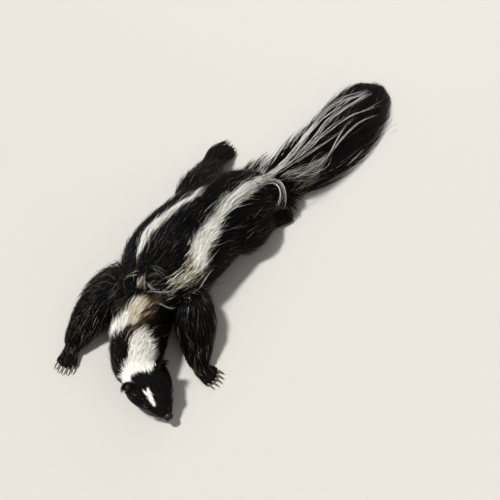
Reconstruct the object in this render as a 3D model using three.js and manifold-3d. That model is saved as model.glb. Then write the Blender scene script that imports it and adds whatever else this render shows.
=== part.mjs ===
// A striped skunk at life size, lying flat on its belly with its legs spread, its head bent round to the left
// and its tail stretched out behind. Millimetres, +Z up, +X along the trunk towards the head, +Y to its left.
// It is drawn on a plan of the floor whose zero lies beside the left flank, and the finished group is
// shifted so that its own zero is on the floor under the middle of the whole animal.

import * as THREE from "three";
import { mergeVertices } from "three/addons/utils/BufferGeometryUtils.js";
import Module from "manifold-3d";

const wasm = await Module();
wasm.setup();

// Driving dimensions.
const gap = 0.3; // left between neighbouring pieces
const trunkHeight = 86; // highest point of the back above the floor, coat included
const trunkHalfWidth = 69;
const coreShare = 0.81; // how far out the solid core under the coat reaches, as a share of the way to the tips
const headLength = 80; // back of the skull to the tip of the nose
const headHalfWidth = 31; // across the cheeks
const eyeRadius = 4.2;
const lidThickness = 1.3;
const lipRadius = 1.9;
const mouthLineRadius = 0.8;
const earHalfWidth = 9;
const tailLength = 304; // root to the last hair
const tailHalfWidth = 50; // the plume where it is widest
const foreClawLength = 10;
const hindClawLength = 6;

const black = "#14120f";
const white = "#e9e4d6";
const skin = "#2b2421";

const { lerp, clamp, degToRad } = THREE.MathUtils;
const upward = new THREE.Vector3(0, 0, 1);

// A run of numbers between 0 and 1 that is the same every time for one seed.
function seededRandom(seed) {
  let state = seed;
  return () => {
    state = (state * 1664525 + 1013904223) % 4294967296;
    return state / 4294967296;
  };
}

// Shapes.

// One cross-section: its centre, its half-width, and how far it reaches above and below that centre.
function ring(x, y, z, wide, up, down) {
  return { centre: new THREE.Vector3(x, y, z), reach: new THREE.Vector3(wide, up, down) };
}

// The outside of a round-ended body that runs through the rings. The result gives the point that lies along
// (0 at the first ring, 1 at the last) and round (0 on top, a right angle on the left of the path), a given
// share of the way out from the middle.
function surfaceThrough(rings, grow = 0) {
  const path = new THREE.CatmullRomCurve3(rings.map((r) => r.centre));
  const reach = new THREE.CatmullRomCurve3(rings.map((r) => r.reach));
  return (along, round, share = 1) => {
    const ahead = path.getTangent(along);
    const left = upward.clone().cross(ahead).normalize();
    const above = ahead.clone().cross(left);
    const size = reach.getPoint(along).multiplyScalar(share).addScalar(grow);
    const tall = Math.cos(round) > 0 ? size.y : size.z;
    const taper = Math.sqrt(Math.max(0, 1 - (2 * along - 1) ** 8));
    return path
      .getPoint(along)
      .addScaledVector(ahead, grow * (2 * along - 1))
      .addScaledVector(left, Math.sin(round) * size.x * taper)
      .addScaledVector(above, Math.cos(round) * tall * taper);
  };
}

// A ball whose every point is moved by place(along, round) becomes one closed body.
function shapedBall(sides, steps, place) {
  const ball = new THREE.SphereGeometry(1, sides, steps);
  const points = ball.getAttribute("position");
  for (let i = 0; i < points.count; i++) {
    const along = (1 - points.getY(i)) / 2;
    const round = Math.atan2(points.getX(i), points.getZ(i));
    const moved = place(along, round);
    points.setXYZ(i, moved.x, moved.y, moved.z);
  }
  return ball;
}

// A three.js geometry as a solid that can be joined and cut.
function solid(geometry) {
  const bare = geometry.clone().deleteAttribute("normal").deleteAttribute("uv");
  const merged = mergeVertices(bare, 1e-3);
  const corners = new Uint32Array(merged.index.array);
  const build = () =>
    new wasm.Manifold(
      new wasm.Mesh({ numProp: 3, vertProperties: merged.attributes.position.array, triVerts: corners }),
    );
  const made = build();
  if (made.volume() > 0) return made;
  for (let i = 0; i < corners.length; i += 3) [corners[i], corners[i + 1]] = [corners[i + 1], corners[i]];
  return build();
}

function bodyThrough(rings, { sides = 14, steps = 12, share = 1, grow = 0 } = {}) {
  const surface = surfaceThrough(rings, grow);
  return solid(shapedBall(sides, steps, (along, round) => surface(along, round, share)));
}

// An egg with its centre and half-sizes given, turned by a matrix.
function egg(centre, half, turn = new THREE.Matrix4(), sides = 16, steps = 10) {
  const ball = new THREE.SphereGeometry(1, sides, steps).rotateX(Math.PI / 2);
  return solid(ball.scale(...half).applyMatrix4(turn).translate(...centre));
}

const turnLeft = (angle) => new THREE.Matrix4().makeRotationZ(angle);

const union = (pieces) => wasm.Manifold.union(pieces);

// Locks of hair. A lock is flat, widest a third of the way along and drawn out to a point.
const lockSides = 3;
const lockSteps = 5;
const outlineOf = (t) => ((1 - t) ** 0.9 * (1 - (1 - t) ** 8)) / 0.68;
const endRow = (1 - Math.cos(Math.PI / lockSteps)) / 2; // where the ring of corners next to an end lies

// path(t) runs from the root, sunk in the core, to the tip. across(t) lies in the flat of the lock, to the left
// of the path where the lock's outer face is up.
function lock(path, across, width, thick, grow = 0) {
  const place = (t, round) => {
    if (t === 0 || t === 1) {
      const beyond = path(t).sub(path(t === 0 ? endRow : 1 - endRow)).normalize();
      return path(t).addScaledVector(beyond, 2 * grow);
    }
    const ahead = path(t + 0.02).sub(path(t - 0.02)).normalize();
    const above = ahead.clone().cross(across(t)).normalize();
    const side = above.clone().cross(ahead);
    return path(t)
      .addScaledVector(side, Math.sin(round) * ((width / 2) * outlineOf(t) + 2 * grow))
      .addScaledVector(above, Math.cos(round) * ((thick / 2) * outlineOf(t) + 2 * grow));
  };
  return solid(shapedBall(lockSides, lockSteps, place));
}

const endMargin = 0.05; // of a body's length that no tip enters, where its end rounds off

// Rows of locks over a body. Each row is rooted at one place along it, and its locks run on by a share of the
// body's length while they rise from rootShare to the outer surface.
function coatOf(rings, coat, grow = 0) {
  const surface = surfaceThrough(rings);
  const girthOf = new THREE.CatmullRomCurve3(rings.map((r) => r.reach));
  const random = seededRandom(coat.seed);
  const vary = (amount) => (random() * 2 - 1) * amount;
  const locks = [];
  for (let row = 0; row < coat.rows; row++) {
    const rowAlong = lerp(coat.first, coat.last, row / (coat.rows - 1));
    const size = girthOf.getPoint(rowAlong);
    const arc = degToRad(coat.arc);
    const count = Math.max(3, Math.round((arc * (size.x + size.y)) / coat.spacing));
    for (let i = 0; i < count; i++) {
      const stagger = row % 2 === 0 ? 0.3 : 0.7;
      const from = rowAlong + vary(0.015);
      const round = (((i + stagger) / count) * 2 - 1) * arc + vary(0.05);
      const run = clamp(coat.run * (1 + vary(0.14)), endMargin - from, 1 - endMargin - from);
      const drift = coat.drift * Math.sin(round) + vary(0.08);
      const tipShare = 1 - random() * 0.04;
      const alongAt = (t) => from + run * t;
      const shareAt = (t) => lerp(coat.rootShare, tipShare, 1 - (1 - t) ** coat.rise);
      const path = (t) => surface(alongAt(t), round + drift * t, shareAt(t));
      const across = (t) => {
        const here = round + drift * t;
        const around = surface(alongAt(t), here + 0.05, shareAt(t)).sub(surface(alongAt(t), here - 0.05, shareAt(t)));
        return around.normalize().multiply(coat.lie).multiplyScalar(Math.sign(run));
      };
      locks.push(lock(path, across, coat.width * (1 + vary(0.15)), coat.thick, grow));
    }
  }
  return locks;
}

// A single lock through points chosen by hand.
function looseLock({ points, width, thick }, grow = 0) {
  const curve = new THREE.CatmullRomCurve3(points.map((p) => new THREE.Vector3(...p)));
  const across = (t) => upward.clone().cross(curve.getTangent(t));
  return lock((t) => curve.getPoint(t), across, width, thick, grow);
}

// Trunk and tail.

const trunkRings = [
  ring(-92, -40, 28, 22, 20, 34),
  ring(-58, -47, 33, 47, 36, 42),
  ring(-12, -55, 36, 62, 44, 46),
  ring(38, -60, 38, trunkHalfWidth - 2, trunkHeight - 39, 49),
  ring(88, -60, 38, trunkHalfWidth, trunkHeight - 38, 49),
  ring(132, -54, 37, 64, 45, 48),
  ring(172, -42, 35, 50, 38, 45),
  ring(196, -30, 34, 34, 30, 42),
];

const tailRings = [
  ring(-72, -42, 26, 18, 18, 26),
  ring(-110, -38, 20, 38, 23, 25),
  ring(-170, -26, 15, 47, 24, 22),
  ring(-240, -22, 13, tailHalfWidth, 22, 19),
  ring(-314, -29, 10, 47, 17, 14),
  ring(-364, -38, 7, 33, 12, 10),
  ring(-72 - tailLength, -44, 5, 12, 6, 6),
];

const tailCoreRings = [
  ring(-72, -42, 27, 11, 11, 15),
  ring(-110, -40, 20, 13, 10, 13),
  ring(-170, -29, 15, 12, 9, 10),
  ring(-240, -24, 11, 8, 7, 7),
  ring(-290, -27, 8, 4, 4, 4),
];

const flatLie = new THREE.Vector3(1, 1, 0.15); // keeps the locks of the plume level
const roundLie = new THREE.Vector3(1, 1, 1);

const trunkCoat = {
  seed: 11, rows: 6, first: 0.93, last: 0.22, run: -0.25, arc: 118, spacing: 34, width: 33, thick: 7,
  rootShare: 0.68, rise: 2, drift: 0.12, lie: roundLie,
};

const tailCoat = {
  seed: 23, rows: 6, first: 0.03, last: 0.65, run: 0.37, arc: 132, spacing: 22, width: 24, thick: 8,
  rootShare: 0.12, rise: 1.5, drift: 0.1, lie: flatLie,
};

// Long black hair of the rump that lies between the tail and the right hind leg, and one white curl that
// falls from the root of the tail to the left.
const rumpLocks = [
  { points: [[-52, -72, 30], [-88, -80, 24], [-120, -90, 12], [-150, -95, 5]], width: 20, thick: 8 },
  { points: [[-46, -84, 26], [-78, -93, 20], [-104, -103, 11], [-132, -112, 4]], width: 19, thick: 8 },
  { points: [[-62, -64, 30], [-94, -70, 26], [-128, -78, 14], [-156, -80, 6]], width: 18, thick: 8 },
  { points: [[-78, -38, 34], [-90, -24, 37], [-88, -10, 26], [-75, -3, 8]], width: 8, thick: 5 },
];

// Neck and head.

const neckRings = [
  ring(150, -50, 33, 45, 36, 42),
  ring(184, -34, 36, 42, 35, 44),
  ring(214, -13, 35, 38, 33, 42),
  ring(238, 6, 34, 34, 31, 41),
  ring(253, 28, 32, 29, 28, 38),
];

const neckCoat = {
  seed: 37, rows: 3, first: 0.9, last: 0.42, run: -0.42, arc: 112, spacing: 23, width: 27, thick: 6,
  rootShare: 0.66, rise: 2, drift: 0.1, lie: roundLie,
};

const noseTip = new THREE.Vector3(265, 86, 16);
const headTurn = degToRad(74); // from +X towards +Y

// A place on the head: how far in front of the back of the skull, how far to its left, and how high.
function onHead(ahead, left, height) {
  const back = headLength - ahead;
  return new THREE.Vector3(
    noseTip.x - back * Math.cos(headTurn) - left * Math.sin(headTurn),
    noseTip.y - back * Math.sin(headTurn) + left * Math.cos(headTurn),
    height,
  );
}

function headRing(ahead, height, wide, up, down) {
  return { centre: onHead(ahead, 0, height), reach: new THREE.Vector3(wide, up, down) };
}

const headRings = [
  headRing(0, 33, 22, 23, 30),
  headRing(13, 31, 28, 29, 34),
  headRing(28, 28, headHalfWidth, 31, 32),
  headRing(42, 25, 28, 27, 27),
  headRing(54, 22, 19, 21, 21),
  headRing(66, 18, 11.5, 13.5, 14.5),
  headRing(headLength - 3, 15.5, 8.5, 8.5, 9),
];

const eye = { ahead: 54, out: 16.5, height: 33 };
const eyeCentre = (side) => onHead(eye.ahead, side * eye.out, eye.height);

function eyeball(side, grow = 0) {
  return solid(new THREE.SphereGeometry(eyeRadius + grow, 12, 8).translate(...eyeCentre(side)));
}

// The directions at an eye: forwards along the lids, up across them, and out of the head.
function eyeDirections(side) {
  const zero = onHead(0, 0, 0);
  const out = onHead(0.35, side * 0.8, 0.5).sub(zero).normalize();
  const forward = onHead(1, side * -0.3, -0.35).sub(zero);
  const across = out.clone().cross(forward).normalize();
  return { along: across.clone().cross(out), across, out };
}

function lids(side, grow) {
  const radius = eyeRadius + lidThickness + grow;
  return egg(eyeCentre(side), [radius, radius, radius], turnLeft(headTurn), 10, 6);
}

// The opening between the lids, longer than it is high.
function lidOpening(side) {
  const { along, across, out } = eyeDirections(side);
  const turn = new THREE.Matrix4().makeBasis(along, across, out);
  const half = [eyeRadius * 1.05, eyeRadius * 0.6, eyeRadius];
  return egg(eyeCentre(side).addScaledVector(out, eyeRadius), half, turn, 8, 6);
}

// The mouth, from one corner round under the nose to the other: how far along the head, and how far round it.
const mouthSide = [
  [0.71, 104],
  [0.8, 112],
  [0.88, 122],
  [0.95, 126],
  [0.986, 128],
];

function mouthTube(radius, outwards, grow = 0) {
  const surface = surfaceThrough(headRings, outwards);
  const half = (side) => mouthSide.map(([along, round]) => surface(along, side * degToRad(round)));
  const points = [...half(1), surface(0.994, Math.PI), ...half(-1).reverse()];
  const reach = new THREE.Vector3(radius, radius, radius);
  return bodyThrough(points.map((centre) => ({ centre, reach })), { sides: 6, steps: 15, grow });
}

function headSolid(grow = 0) {
  const bothSides = (make) => [make(1), make(-1)];
  const turn = turnLeft(headTurn);
  const body = union([
    bodyThrough(headRings, { sides: 20, steps: 18, grow }),
    mouthTube(lipRadius, 0, grow),
    ...bothSides((side) => egg(onHead(45, side * 12.5, 33), [12 + grow, 8 + grow, 9.5 + grow], turn, 12, 7)),
    ...bothSides((side) => lids(side, grow)),
  ]);
  if (grow > 0) return body;
  return body.subtract(union([mouthTube(mouthLineRadius, 1.6), ...bothSides(lidOpening)]));
}

// The pad of the nose, with a nostril on each side that opens forwards and outwards.
function nosePad(grow = 0) {
  const turn = turnLeft(headTurn);
  const pad = egg(onHead(headLength - 4, 0, 17), [5.5 + grow, 6 + grow, 5 + grow], turn, 12, 7);
  if (grow > 0) return pad;
  const nostril = (side) =>
    egg(onHead(headLength + 0.6, side * 3.2, 17.4), [2.4, 1.5, 1.7], turnLeft(headTurn + side * 0.5), 6, 5);
  return pad.subtract(union([nostril(1), nostril(-1)]));
}

function ear(side) {
  const root = onHead(27, side * 24, 45);
  const lean = headTurn + side * 0.6;
  const mouth = [root.x + 4.5 * Math.cos(lean), root.y + 4.5 * Math.sin(lean), root.z + 1];
  const cup = egg(root, [4.5, earHalfWidth, 10], turnLeft(lean), 12, 7);
  return cup.subtract(egg(mouth, [4.2, earHalfWidth - 2.6, 7.4], turnLeft(lean), 10, 6));
}

// Legs. Each runs from the trunk outwards.

const legs = {
  foreleg_right: [
    ring(146, -84, 36, 34, 32, 37),
    ring(186, -90, 31, 33, 27, 32),
    ring(224, -91, 23, 26, 20, 24),
    ring(254, -88, 15, 18, 13, 16),
    ring(274, -83, 10, 13, 8, 11),
  ],
  foreleg_left: [
    ring(120, -8, 34, 32, 32, 35),
    ring(144, 22, 28, 27, 26, 29),
    ring(164, 43, 19, 22, 17, 20),
    ring(179, 58, 13, 16, 11, 14),
    ring(185, 68, 9, 12, 7, 10),
  ],
  thigh_right: [
    ring(26, -106, 32, 22, 24, 33),
    ring(-2, -108, 33, 29, 27, 34),
    ring(-32, -116, 27, 28, 23, 28),
    ring(-60, -129, 19, 21, 15, 20),
    ring(-84, -138, 14, 15, 11, 15),
  ],
  thigh_left: [
    ring(24, -16, 30, 22, 24, 31),
    ring(-4, -12, 32, 27, 26, 33),
    ring(-30, -12, 26, 25, 22, 27),
    ring(-48, -7, 15, 18, 12, 16),
    ring(-58, -2, 9, 12, 7, 10),
  ],
};

const legCoat = {
  seed: 51, rows: 2, first: 0.26, last: 0.54, run: 0.4, arc: 105, spacing: 34, width: 30, thick: 6,
  rootShare: 0.7, rise: 2, drift: 0.1, lie: roundLie,
};

// Paws: where the sole's middle lies, which way the toes point, and the sole's half-length and half-width.
const paws = {
  forepaw_right: { at: [281, -80, 8], turn: 22, long: 13, wide: 11, high: 9, claw: foreClawLength },
  forepaw_left: { at: [187, 74, 8], turn: 98, long: 13, wide: 11, high: 9, claw: foreClawLength },
  hindfoot_right: { at: [-98, -140, 10], turn: 184, long: 22, wide: 12, high: 11, claw: hindClawLength },
  hindfoot_left: { at: [-64, 2, 8], turn: 168, long: 19, wide: 10, high: 9, claw: hindClawLength },
};
const toeCount = 5;

function pawSolid({ at, turn, long, wide, high, claw }) {
  const heading = degToRad(turn);
  const spot = (ahead, left, height) =>
    new THREE.Vector3(ahead, left, height)
      .applyAxisAngle(upward, heading)
      .add(new THREE.Vector3(at[0], at[1], 0));
  const pieces = [egg(at, [long, wide, high], turnLeft(heading), 10, 7)];
  for (let i = 0; i < toeCount; i++) {
    const spread = (i / (toeCount - 1)) * 2 - 1;
    const reachOut = long * (1.18 - 0.35 * spread ** 2);
    const side = spread * wide * 0.95;
    const toeRing = (ahead, out, height, size) => {
      const centre = spot(ahead, out, height);
      return { centre, reach: new THREE.Vector3(size, size, size + 0.6) };
    };
    const toe = [
      toeRing(long * 0.4, side * 0.8, 5, 3.4),
      toeRing(reachOut * 0.9, side, 5, 3.1),
      toeRing(reachOut + 2, side * 1.08, 4.4, 2),
      toeRing(reachOut + 3 + claw * 0.5, side * 1.15, 4.4, 1.3),
      toeRing(reachOut + 3 + claw, side * 1.2, 1.6, 0.4),
    ];
    pieces.push(bodyThrough(toe, { sides: 4, steps: 7 }));
  }
  return union(pieces);
}

// A body with its core, its coat of locks and any loose locks.
function furred(rings, core, coat, loose = []) {
  return (grow) => union([core(grow), ...coatOf(rings, coat, grow), ...loose.map((one) => looseLock(one, grow))]);
}

const coreOf = (rings, sides, steps) => (grow) => bodyThrough(rings, { sides, steps, share: coreShare, grow });
const tailCore = (grow) => bodyThrough(tailCoreRings, { sides: 10, steps: 8, grow });

// Nodes. Each is named with its colour and its solid, plain and grown by the gap. A node is cut clear of
// every one that stands before it in this list.
const makers = [
  ["eye_left", black, (grow) => eyeball(1, grow)],
  ["eye_right", black, (grow) => eyeball(-1, grow)],
  ["nose", skin, nosePad],
  ["head", black, headSolid],
  ["neck", white, furred(neckRings, coreOf(neckRings, 16, 9), neckCoat)],
  ["trunk", black, furred(trunkRings, coreOf(trunkRings, 20, 13), trunkCoat, rumpLocks)],
  ["tail", black, furred(tailRings, tailCore, tailCoat)],
  ...Object.entries(legs).map(([name, rings]) => [name, black, furred(rings, coreOf(rings, 12, 8), legCoat)]),
  ...Object.entries(paws).map(([name, paw]) => [name, skin, () => pawSolid(paw)]),
  ["ear_left", black, () => ear(1)],
  ["ear_right", black, () => ear(-1)],
];

const floorDepth = 60;
const underFloor = solid(new THREE.BoxGeometry(1200, 1200, floorDepth).translate(0, 0, -floorDepth / 2));

// The one closed body of a solid that holds the most, as a mesh.
function meshOf(name, colour, whole) {
  const largest = whole.decompose().sort((a, b) => b.volume() - a.volume())[0];
  const { vertProperties, triVerts, numProp } = largest.getMesh();
  const geometry = new THREE.BufferGeometry()
    .setAttribute("position", new THREE.BufferAttribute(vertProperties, numProp))
    .setIndex(new THREE.BufferAttribute(triVerts, 1));
  geometry.computeVertexNormals();
  const material = new THREE.MeshStandardMaterial({ color: colour, roughness: 0.8, metalness: 0 });
  const mesh = new THREE.Mesh(geometry, material);
  mesh.name = name;
  return mesh;
}

const skunk = new THREE.Group();
const done = [];
for (const [name, colour, make] of makers) {
  let whole = make(0).subtract(underFloor);
  for (const earlier of done) whole = whole.subtract(earlier);
  skunk.add(meshOf(name, colour, whole));
  done.push(make(gap));
}

const extent = new THREE.Box3().setFromObject(skunk);
const middle = extent.getCenter(new THREE.Vector3());
skunk.position.set(-middle.x, -middle.y, 0);

export default skunk;
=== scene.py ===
# A striped skunk at life size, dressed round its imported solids.
# Shapes are worked out in millimetres on the solids' own plan, and turned to metres when a mesh is made.
import bpy
import bmesh
import math
import numpy as np
from mathutils import Matrix, Vector
from mathutils.bvhtree import BVHTree
from mathutils.kdtree import KDTree


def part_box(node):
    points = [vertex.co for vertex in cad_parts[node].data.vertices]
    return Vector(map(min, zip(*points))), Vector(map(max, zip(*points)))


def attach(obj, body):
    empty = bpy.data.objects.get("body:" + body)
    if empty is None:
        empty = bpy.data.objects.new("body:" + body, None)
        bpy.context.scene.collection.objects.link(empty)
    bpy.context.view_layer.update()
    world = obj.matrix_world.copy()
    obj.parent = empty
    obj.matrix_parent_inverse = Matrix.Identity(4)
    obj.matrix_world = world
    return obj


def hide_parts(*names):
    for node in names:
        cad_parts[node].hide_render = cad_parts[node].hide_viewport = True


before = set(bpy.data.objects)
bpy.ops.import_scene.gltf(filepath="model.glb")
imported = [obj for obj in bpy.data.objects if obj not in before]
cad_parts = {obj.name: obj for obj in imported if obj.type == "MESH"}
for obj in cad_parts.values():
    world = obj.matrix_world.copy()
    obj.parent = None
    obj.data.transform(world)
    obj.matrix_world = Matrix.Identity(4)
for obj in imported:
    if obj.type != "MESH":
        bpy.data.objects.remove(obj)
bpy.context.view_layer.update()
print("frame loaded")

# The plan: the head comes first, because its eye tells where the plan lies in the frame.

head = {
    "noseTip": (265, 86, 16),
    "turn": 74,  # degrees from +X towards +Y
    "length": 80,
    "eye": (54, 16.5, 33),  # ahead of the back of the skull, out from the middle, height
    "eyeRadius": 4.2,
}


def onHead(ahead, left, height):
    turn = math.radians(head["turn"])
    back = head["length"] - ahead
    x, y, _ = head["noseTip"]
    return np.array([
        x - back * math.cos(turn) - left * math.sin(turn),
        y - back * math.sin(turn) + left * math.cos(turn),
        height,
    ])


eyeLow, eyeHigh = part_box("eye_left")
planShift = np.array((eyeLow + eyeHigh) / 2) * 1000 - onHead(*head["eye"])
planShift[2] = 0


def toFrame(points):
    return (np.asarray(points, float) + planShift) / 1000


def toPlan(points):
    return np.asarray(points, float) * 1000 - planShift


def unit(vectors):
    vectors = np.asarray(vectors, float)
    return vectors / np.maximum(np.linalg.norm(vectors, axis=-1, keepdims=True), 1e-9)


# Camera and light.

camera = {
    "elevation": 58,  # degrees down, as the photograph looks
    "heading": (-0.776, -0.631, 0),  # the level direction that it looks in
    "distance": 1130,  # from the plan's zero
    "lens": 56.16,
    "sensor": 36,
}

studio = {
    "key": {  # it comes from this far right and up in the picture
        "from": (-0.9, 0.25), "elevation": 64, "angle": 7, "strength": 4.9,
    },
    "fills": {  # right and up in the picture, height, size, watts
        "fill": (900, -700, 900, 1500, 2.5),
        "rim": (250, 1200, 700, 900, 2.5),
    },
    "aim": (-40, -35, 30),
    "skyStrength": 0.45,
    "sky": "#f3f2ee",
    "floor": "#aeaba5",
}


def linear(hexColour):
    channels = [int(hexColour[i:i + 2], 16) / 255 for i in (1, 3, 5)]
    return np.array([c / 12.92 if c <= 0.04045 else ((c + 0.055) / 1.055) ** 2.4 for c in channels])


def link(made):
    bpy.context.scene.collection.objects.link(made)
    return made


def placeCamera():
    level = unit(camera["heading"])
    steep = math.radians(camera["elevation"])
    right = np.array([level[1], -level[0], 0])
    look = math.cos(steep) * level - math.sin(steep) * np.array([0, 0, 1])
    up = math.sin(steep) * level + math.cos(steep) * np.array([0, 0, 1])
    made = link(bpy.data.objects.new("camera", bpy.data.cameras.new("camera")))
    made.data.lens = camera["lens"]
    made.data.sensor_width = camera["sensor"]
    place = Matrix(np.column_stack([right, up, -look]).tolist()).to_4x4()
    place.translation = Vector(toFrame(-camera["distance"] * look))
    made.matrix_world = place
    bpy.context.scene.camera = made
    return right, level


def placeLight(name, right, up, height, size, watts):
    middle = np.array(studio["aim"], float)
    spot = middle + pictureRight * right + pictureUp * up + np.array([0, 0, height])
    made = link(bpy.data.objects.new(name, bpy.data.lights.new(name, "AREA")))
    made.data.shape = "DISK"
    made.data.size = size / 1000
    made.data.energy = watts
    made.location = Vector(toFrame(spot))
    made.rotation_euler = Vector(middle - spot).to_track_quat("-Z", "Y").to_euler()


def placeKey():
    key = studio["key"]
    level = unit(pictureRight * key["from"][0] + pictureUp * key["from"][1])
    steep = math.radians(key["elevation"])
    towards = level * math.cos(steep) + np.array([0, 0, math.sin(steep)])
    made = link(bpy.data.objects.new("key", bpy.data.lights.new("key", "SUN")))
    made.data.angle = math.radians(key["angle"])  # wide enough for a soft edge to the shadow
    made.data.energy = key["strength"]
    made.rotation_euler = Vector(-towards).to_track_quat("-Z", "Y").to_euler()


pictureRight, pictureUp = placeCamera()  # level directions that run right and up in the picture
placeKey()
for lightName, place in studio["fills"].items():
    placeLight(lightName, *place)
world = bpy.data.worlds.new("studio")
bpy.context.scene.world = world
world.use_nodes = True
sky = world.node_tree.nodes["Background"]
sky.inputs["Color"].default_value = (*linear(studio["sky"]), 1)
sky.inputs["Strength"].default_value = studio["skyStrength"]
bpy.context.scene.view_settings.view_transform = "Standard"
print("camera and light placed")


# Materials. Texture places are the frame's own metres.

mixFactor, mixFirst, mixSecond, mixResult = 0, 6, 7, 2  # the mix node's sockets when it mixes colours
multiply = {"data_type": "RGBA", "blend_type": "MULTIPLY", "clamp_result": False, mixFactor: 1}


def addNode(tree, kind, settings=None, links=None):
    node = tree.nodes.new(kind)
    for key, value in (settings or {}).items():
        if isinstance(key, str) and hasattr(node, key):
            setattr(node, key, value)
        else:
            node.inputs[key].default_value = value
    for key, socket in (links or {}).items():
        tree.links.new(socket, node.inputs[key])
    return node


def newMaterial(name, shaderSettings):
    made = bpy.data.materials.new(name)
    made.use_nodes = True
    tree = made.node_tree
    for key, value in shaderSettings.items():
        tree.nodes["Principled BSDF"].inputs[key].default_value = value
    return made, tree, addNode(tree, "ShaderNodeTexCoord").outputs["Object"]


def finished(made, colour, height=None, strength=0, millimetres=0):
    # gives the shader its colour and, where there is one, a relief this many millimetres deep
    tree = made.node_tree
    shader = tree.nodes["Principled BSDF"]
    tree.links.new(colour, shader.inputs["Base Color"])
    if height is not None:
        relief = {"Strength": strength, "Distance": millimetres / 1000}
        bump = addNode(tree, "ShaderNodeBump", relief, {"Height": height})
        tree.links.new(bump.outputs["Normal"], shader.inputs["Normal"])
    return made


def perMetre(millimetres):  # a texture scale whose pattern repeats about once in this many millimetres
    return 1000 / millimetres


def rgba(hexColour):
    return (*linear(hexColour), 1)


def painted(tree, pattern, darkest, brightest):
    # the colours laid on the piece, darker and brighter with a pattern
    tint = addNode(tree, "ShaderNodeAttribute", {"attribute_name": "tint"})
    spread = addNode(tree, "ShaderNodeMapRange", {"To Min": darkest, "To Max": brightest}, {"Value": pattern})
    links = {mixFirst: tint.outputs["Color"], mixSecond: spread.outputs["Result"]}
    return addNode(tree, "ShaderNodeMix", multiply, links).outputs[mixResult]


def mottled(tree, place, millimetres, detail, dark, light):
    # clouds of two tones; returns their colour and how light it is
    settings = {"Scale": perMetre(millimetres), "Detail": detail}
    clouds = addNode(tree, "ShaderNodeTexNoise", settings, {"Vector": place}).outputs["Fac"]
    tones = {"data_type": "RGBA", mixFirst: rgba(dark), mixSecond: rgba(light)}
    return addNode(tree, "ShaderNodeMix", tones, {mixFactor: clouds}).outputs[mixResult], clouds


def hairOf(name, settings):
    made, tree, place = newMaterial(name, settings)
    fleck = addNode(tree, "ShaderNodeTexNoise", {"Scale": perMetre(1.5), "Detail": 2}, {"Vector": place})
    return finished(made, painted(tree, fleck.outputs["Fac"], 0.78, 1.22))


def blackGuardHair():
    # Keratin guard hair full of pigment, oily and combed flat: nearly black, with a narrow gloss along it.
    return hairOf("blackGuardHair", {"Roughness": 0.26, "IOR": 1.55, "Specular IOR Level": 0.11})


def whiteGuardHair():
    # Keratin guard hair without pigment: bright and a little yellow, with a soft gloss along it.
    return hairOf("whiteGuardHair", {"Roughness": 0.48, "IOR": 1.55, "Specular IOR Level": 0.35})


def furredHide():
    # Skin under short flat hair: dull, with fine streaks about as wide as a few hairs.
    settings = {"Roughness": 0.6, "IOR": 1.45, "Specular IOR Level": 0.15}
    made, tree, place = newMaterial("furredHide", settings)
    streaks = {"Scale": perMetre(1.2), "Detail": 5, "Roughness": 0.65, "Distortion": 1.2}
    streak = addNode(tree, "ShaderNodeTexNoise", streaks, {"Vector": place}).outputs["Fac"]
    return finished(made, painted(tree, streak, 0.55, 1.3), streak, 0.6, 0.5)


def noseLeather():
    # Bare nose skin, kept a little wet: dark, with cells about 0.7 mm across and a soft gloss on each.
    film = {"Coat Weight": 0.12, "Coat Roughness": 0.14}
    settings = {"Roughness": 0.42, "IOR": 1.4, "Specular IOR Level": 0.28, **film}
    made, tree, place = newMaterial("noseLeather", settings)
    cells = addNode(tree, "ShaderNodeTexVoronoi", {"Scale": perMetre(0.7)}, {"Vector": place})
    colour, _ = mottled(tree, place, 4, 3, "#0c0908", "#1b1311")
    return finished(made, colour, cells.outputs["Distance"], 0.7, 0.25)


def clawHorn():
    # Claw horn, worn by digging: brown, with paler patches about 2 mm across; light sinks into it a little.
    settings = {"Roughness": 0.34, "IOR": 1.54, "Subsurface Weight": 0.15, "Subsurface Scale": 0.002}
    made, tree, place = newMaterial("clawHorn", settings)
    return finished(made, *mottled(tree, place, 2.2, 4, "#2b241d", "#75664c"), 0.25, 0.15)


def wetEye():
    # A dark brown iris under a wet cornea: almost black, with one clean reflection.
    settings = {"Roughness": 0.06, "IOR": 1.376, "Coat Weight": 0.25, "Coat Roughness": 0.02}
    made, tree, place = newMaterial("wetEye", settings)
    return finished(made, mottled(tree, place, 1.6, 4, "#060403", "#120b07")[0])


def earSkin():
    # Thin bare skin inside the ear: dull, a dark brown with a touch of pink, and a light grain.
    settings = {"Roughness": 0.55, "IOR": 1.4, "Subsurface Weight": 0.1, "Subsurface Scale": 0.002}
    made, tree, place = newMaterial("earSkin", settings)
    return finished(made, *mottled(tree, place, 1.2, 5, "#120d0b", "#2e1f1a"), 0.4, 0.2)


def studioFloor():
    # A sheet of grey matt paper, with a faint grain about 3 mm across.
    made, tree, place = newMaterial("studioFloor", {"Roughness": 0.85})
    pattern = {"Scale": perMetre(3), "Detail": 4}
    grain = addNode(tree, "ShaderNodeTexNoise", pattern, {"Vector": place}).outputs["Fac"]
    spread = addNode(tree, "ShaderNodeMapRange", {"To Min": 0.97, "To Max": 1.03}, {"Value": grain})
    settings = {**multiply, mixFirst: rgba(studio["floor"])}
    colour = addNode(tree, "ShaderNodeMix", settings, {mixSecond: spread.outputs["Result"]})
    return finished(made, colour.outputs[mixResult])


makers = (blackGuardHair, whiteGuardHair, furredHide, noseLeather, clawHorn, wetEye, earSkin, studioFloor)
materials = {make.__name__: make() for make in makers}
print("materials made")


# Meshes.

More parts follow.
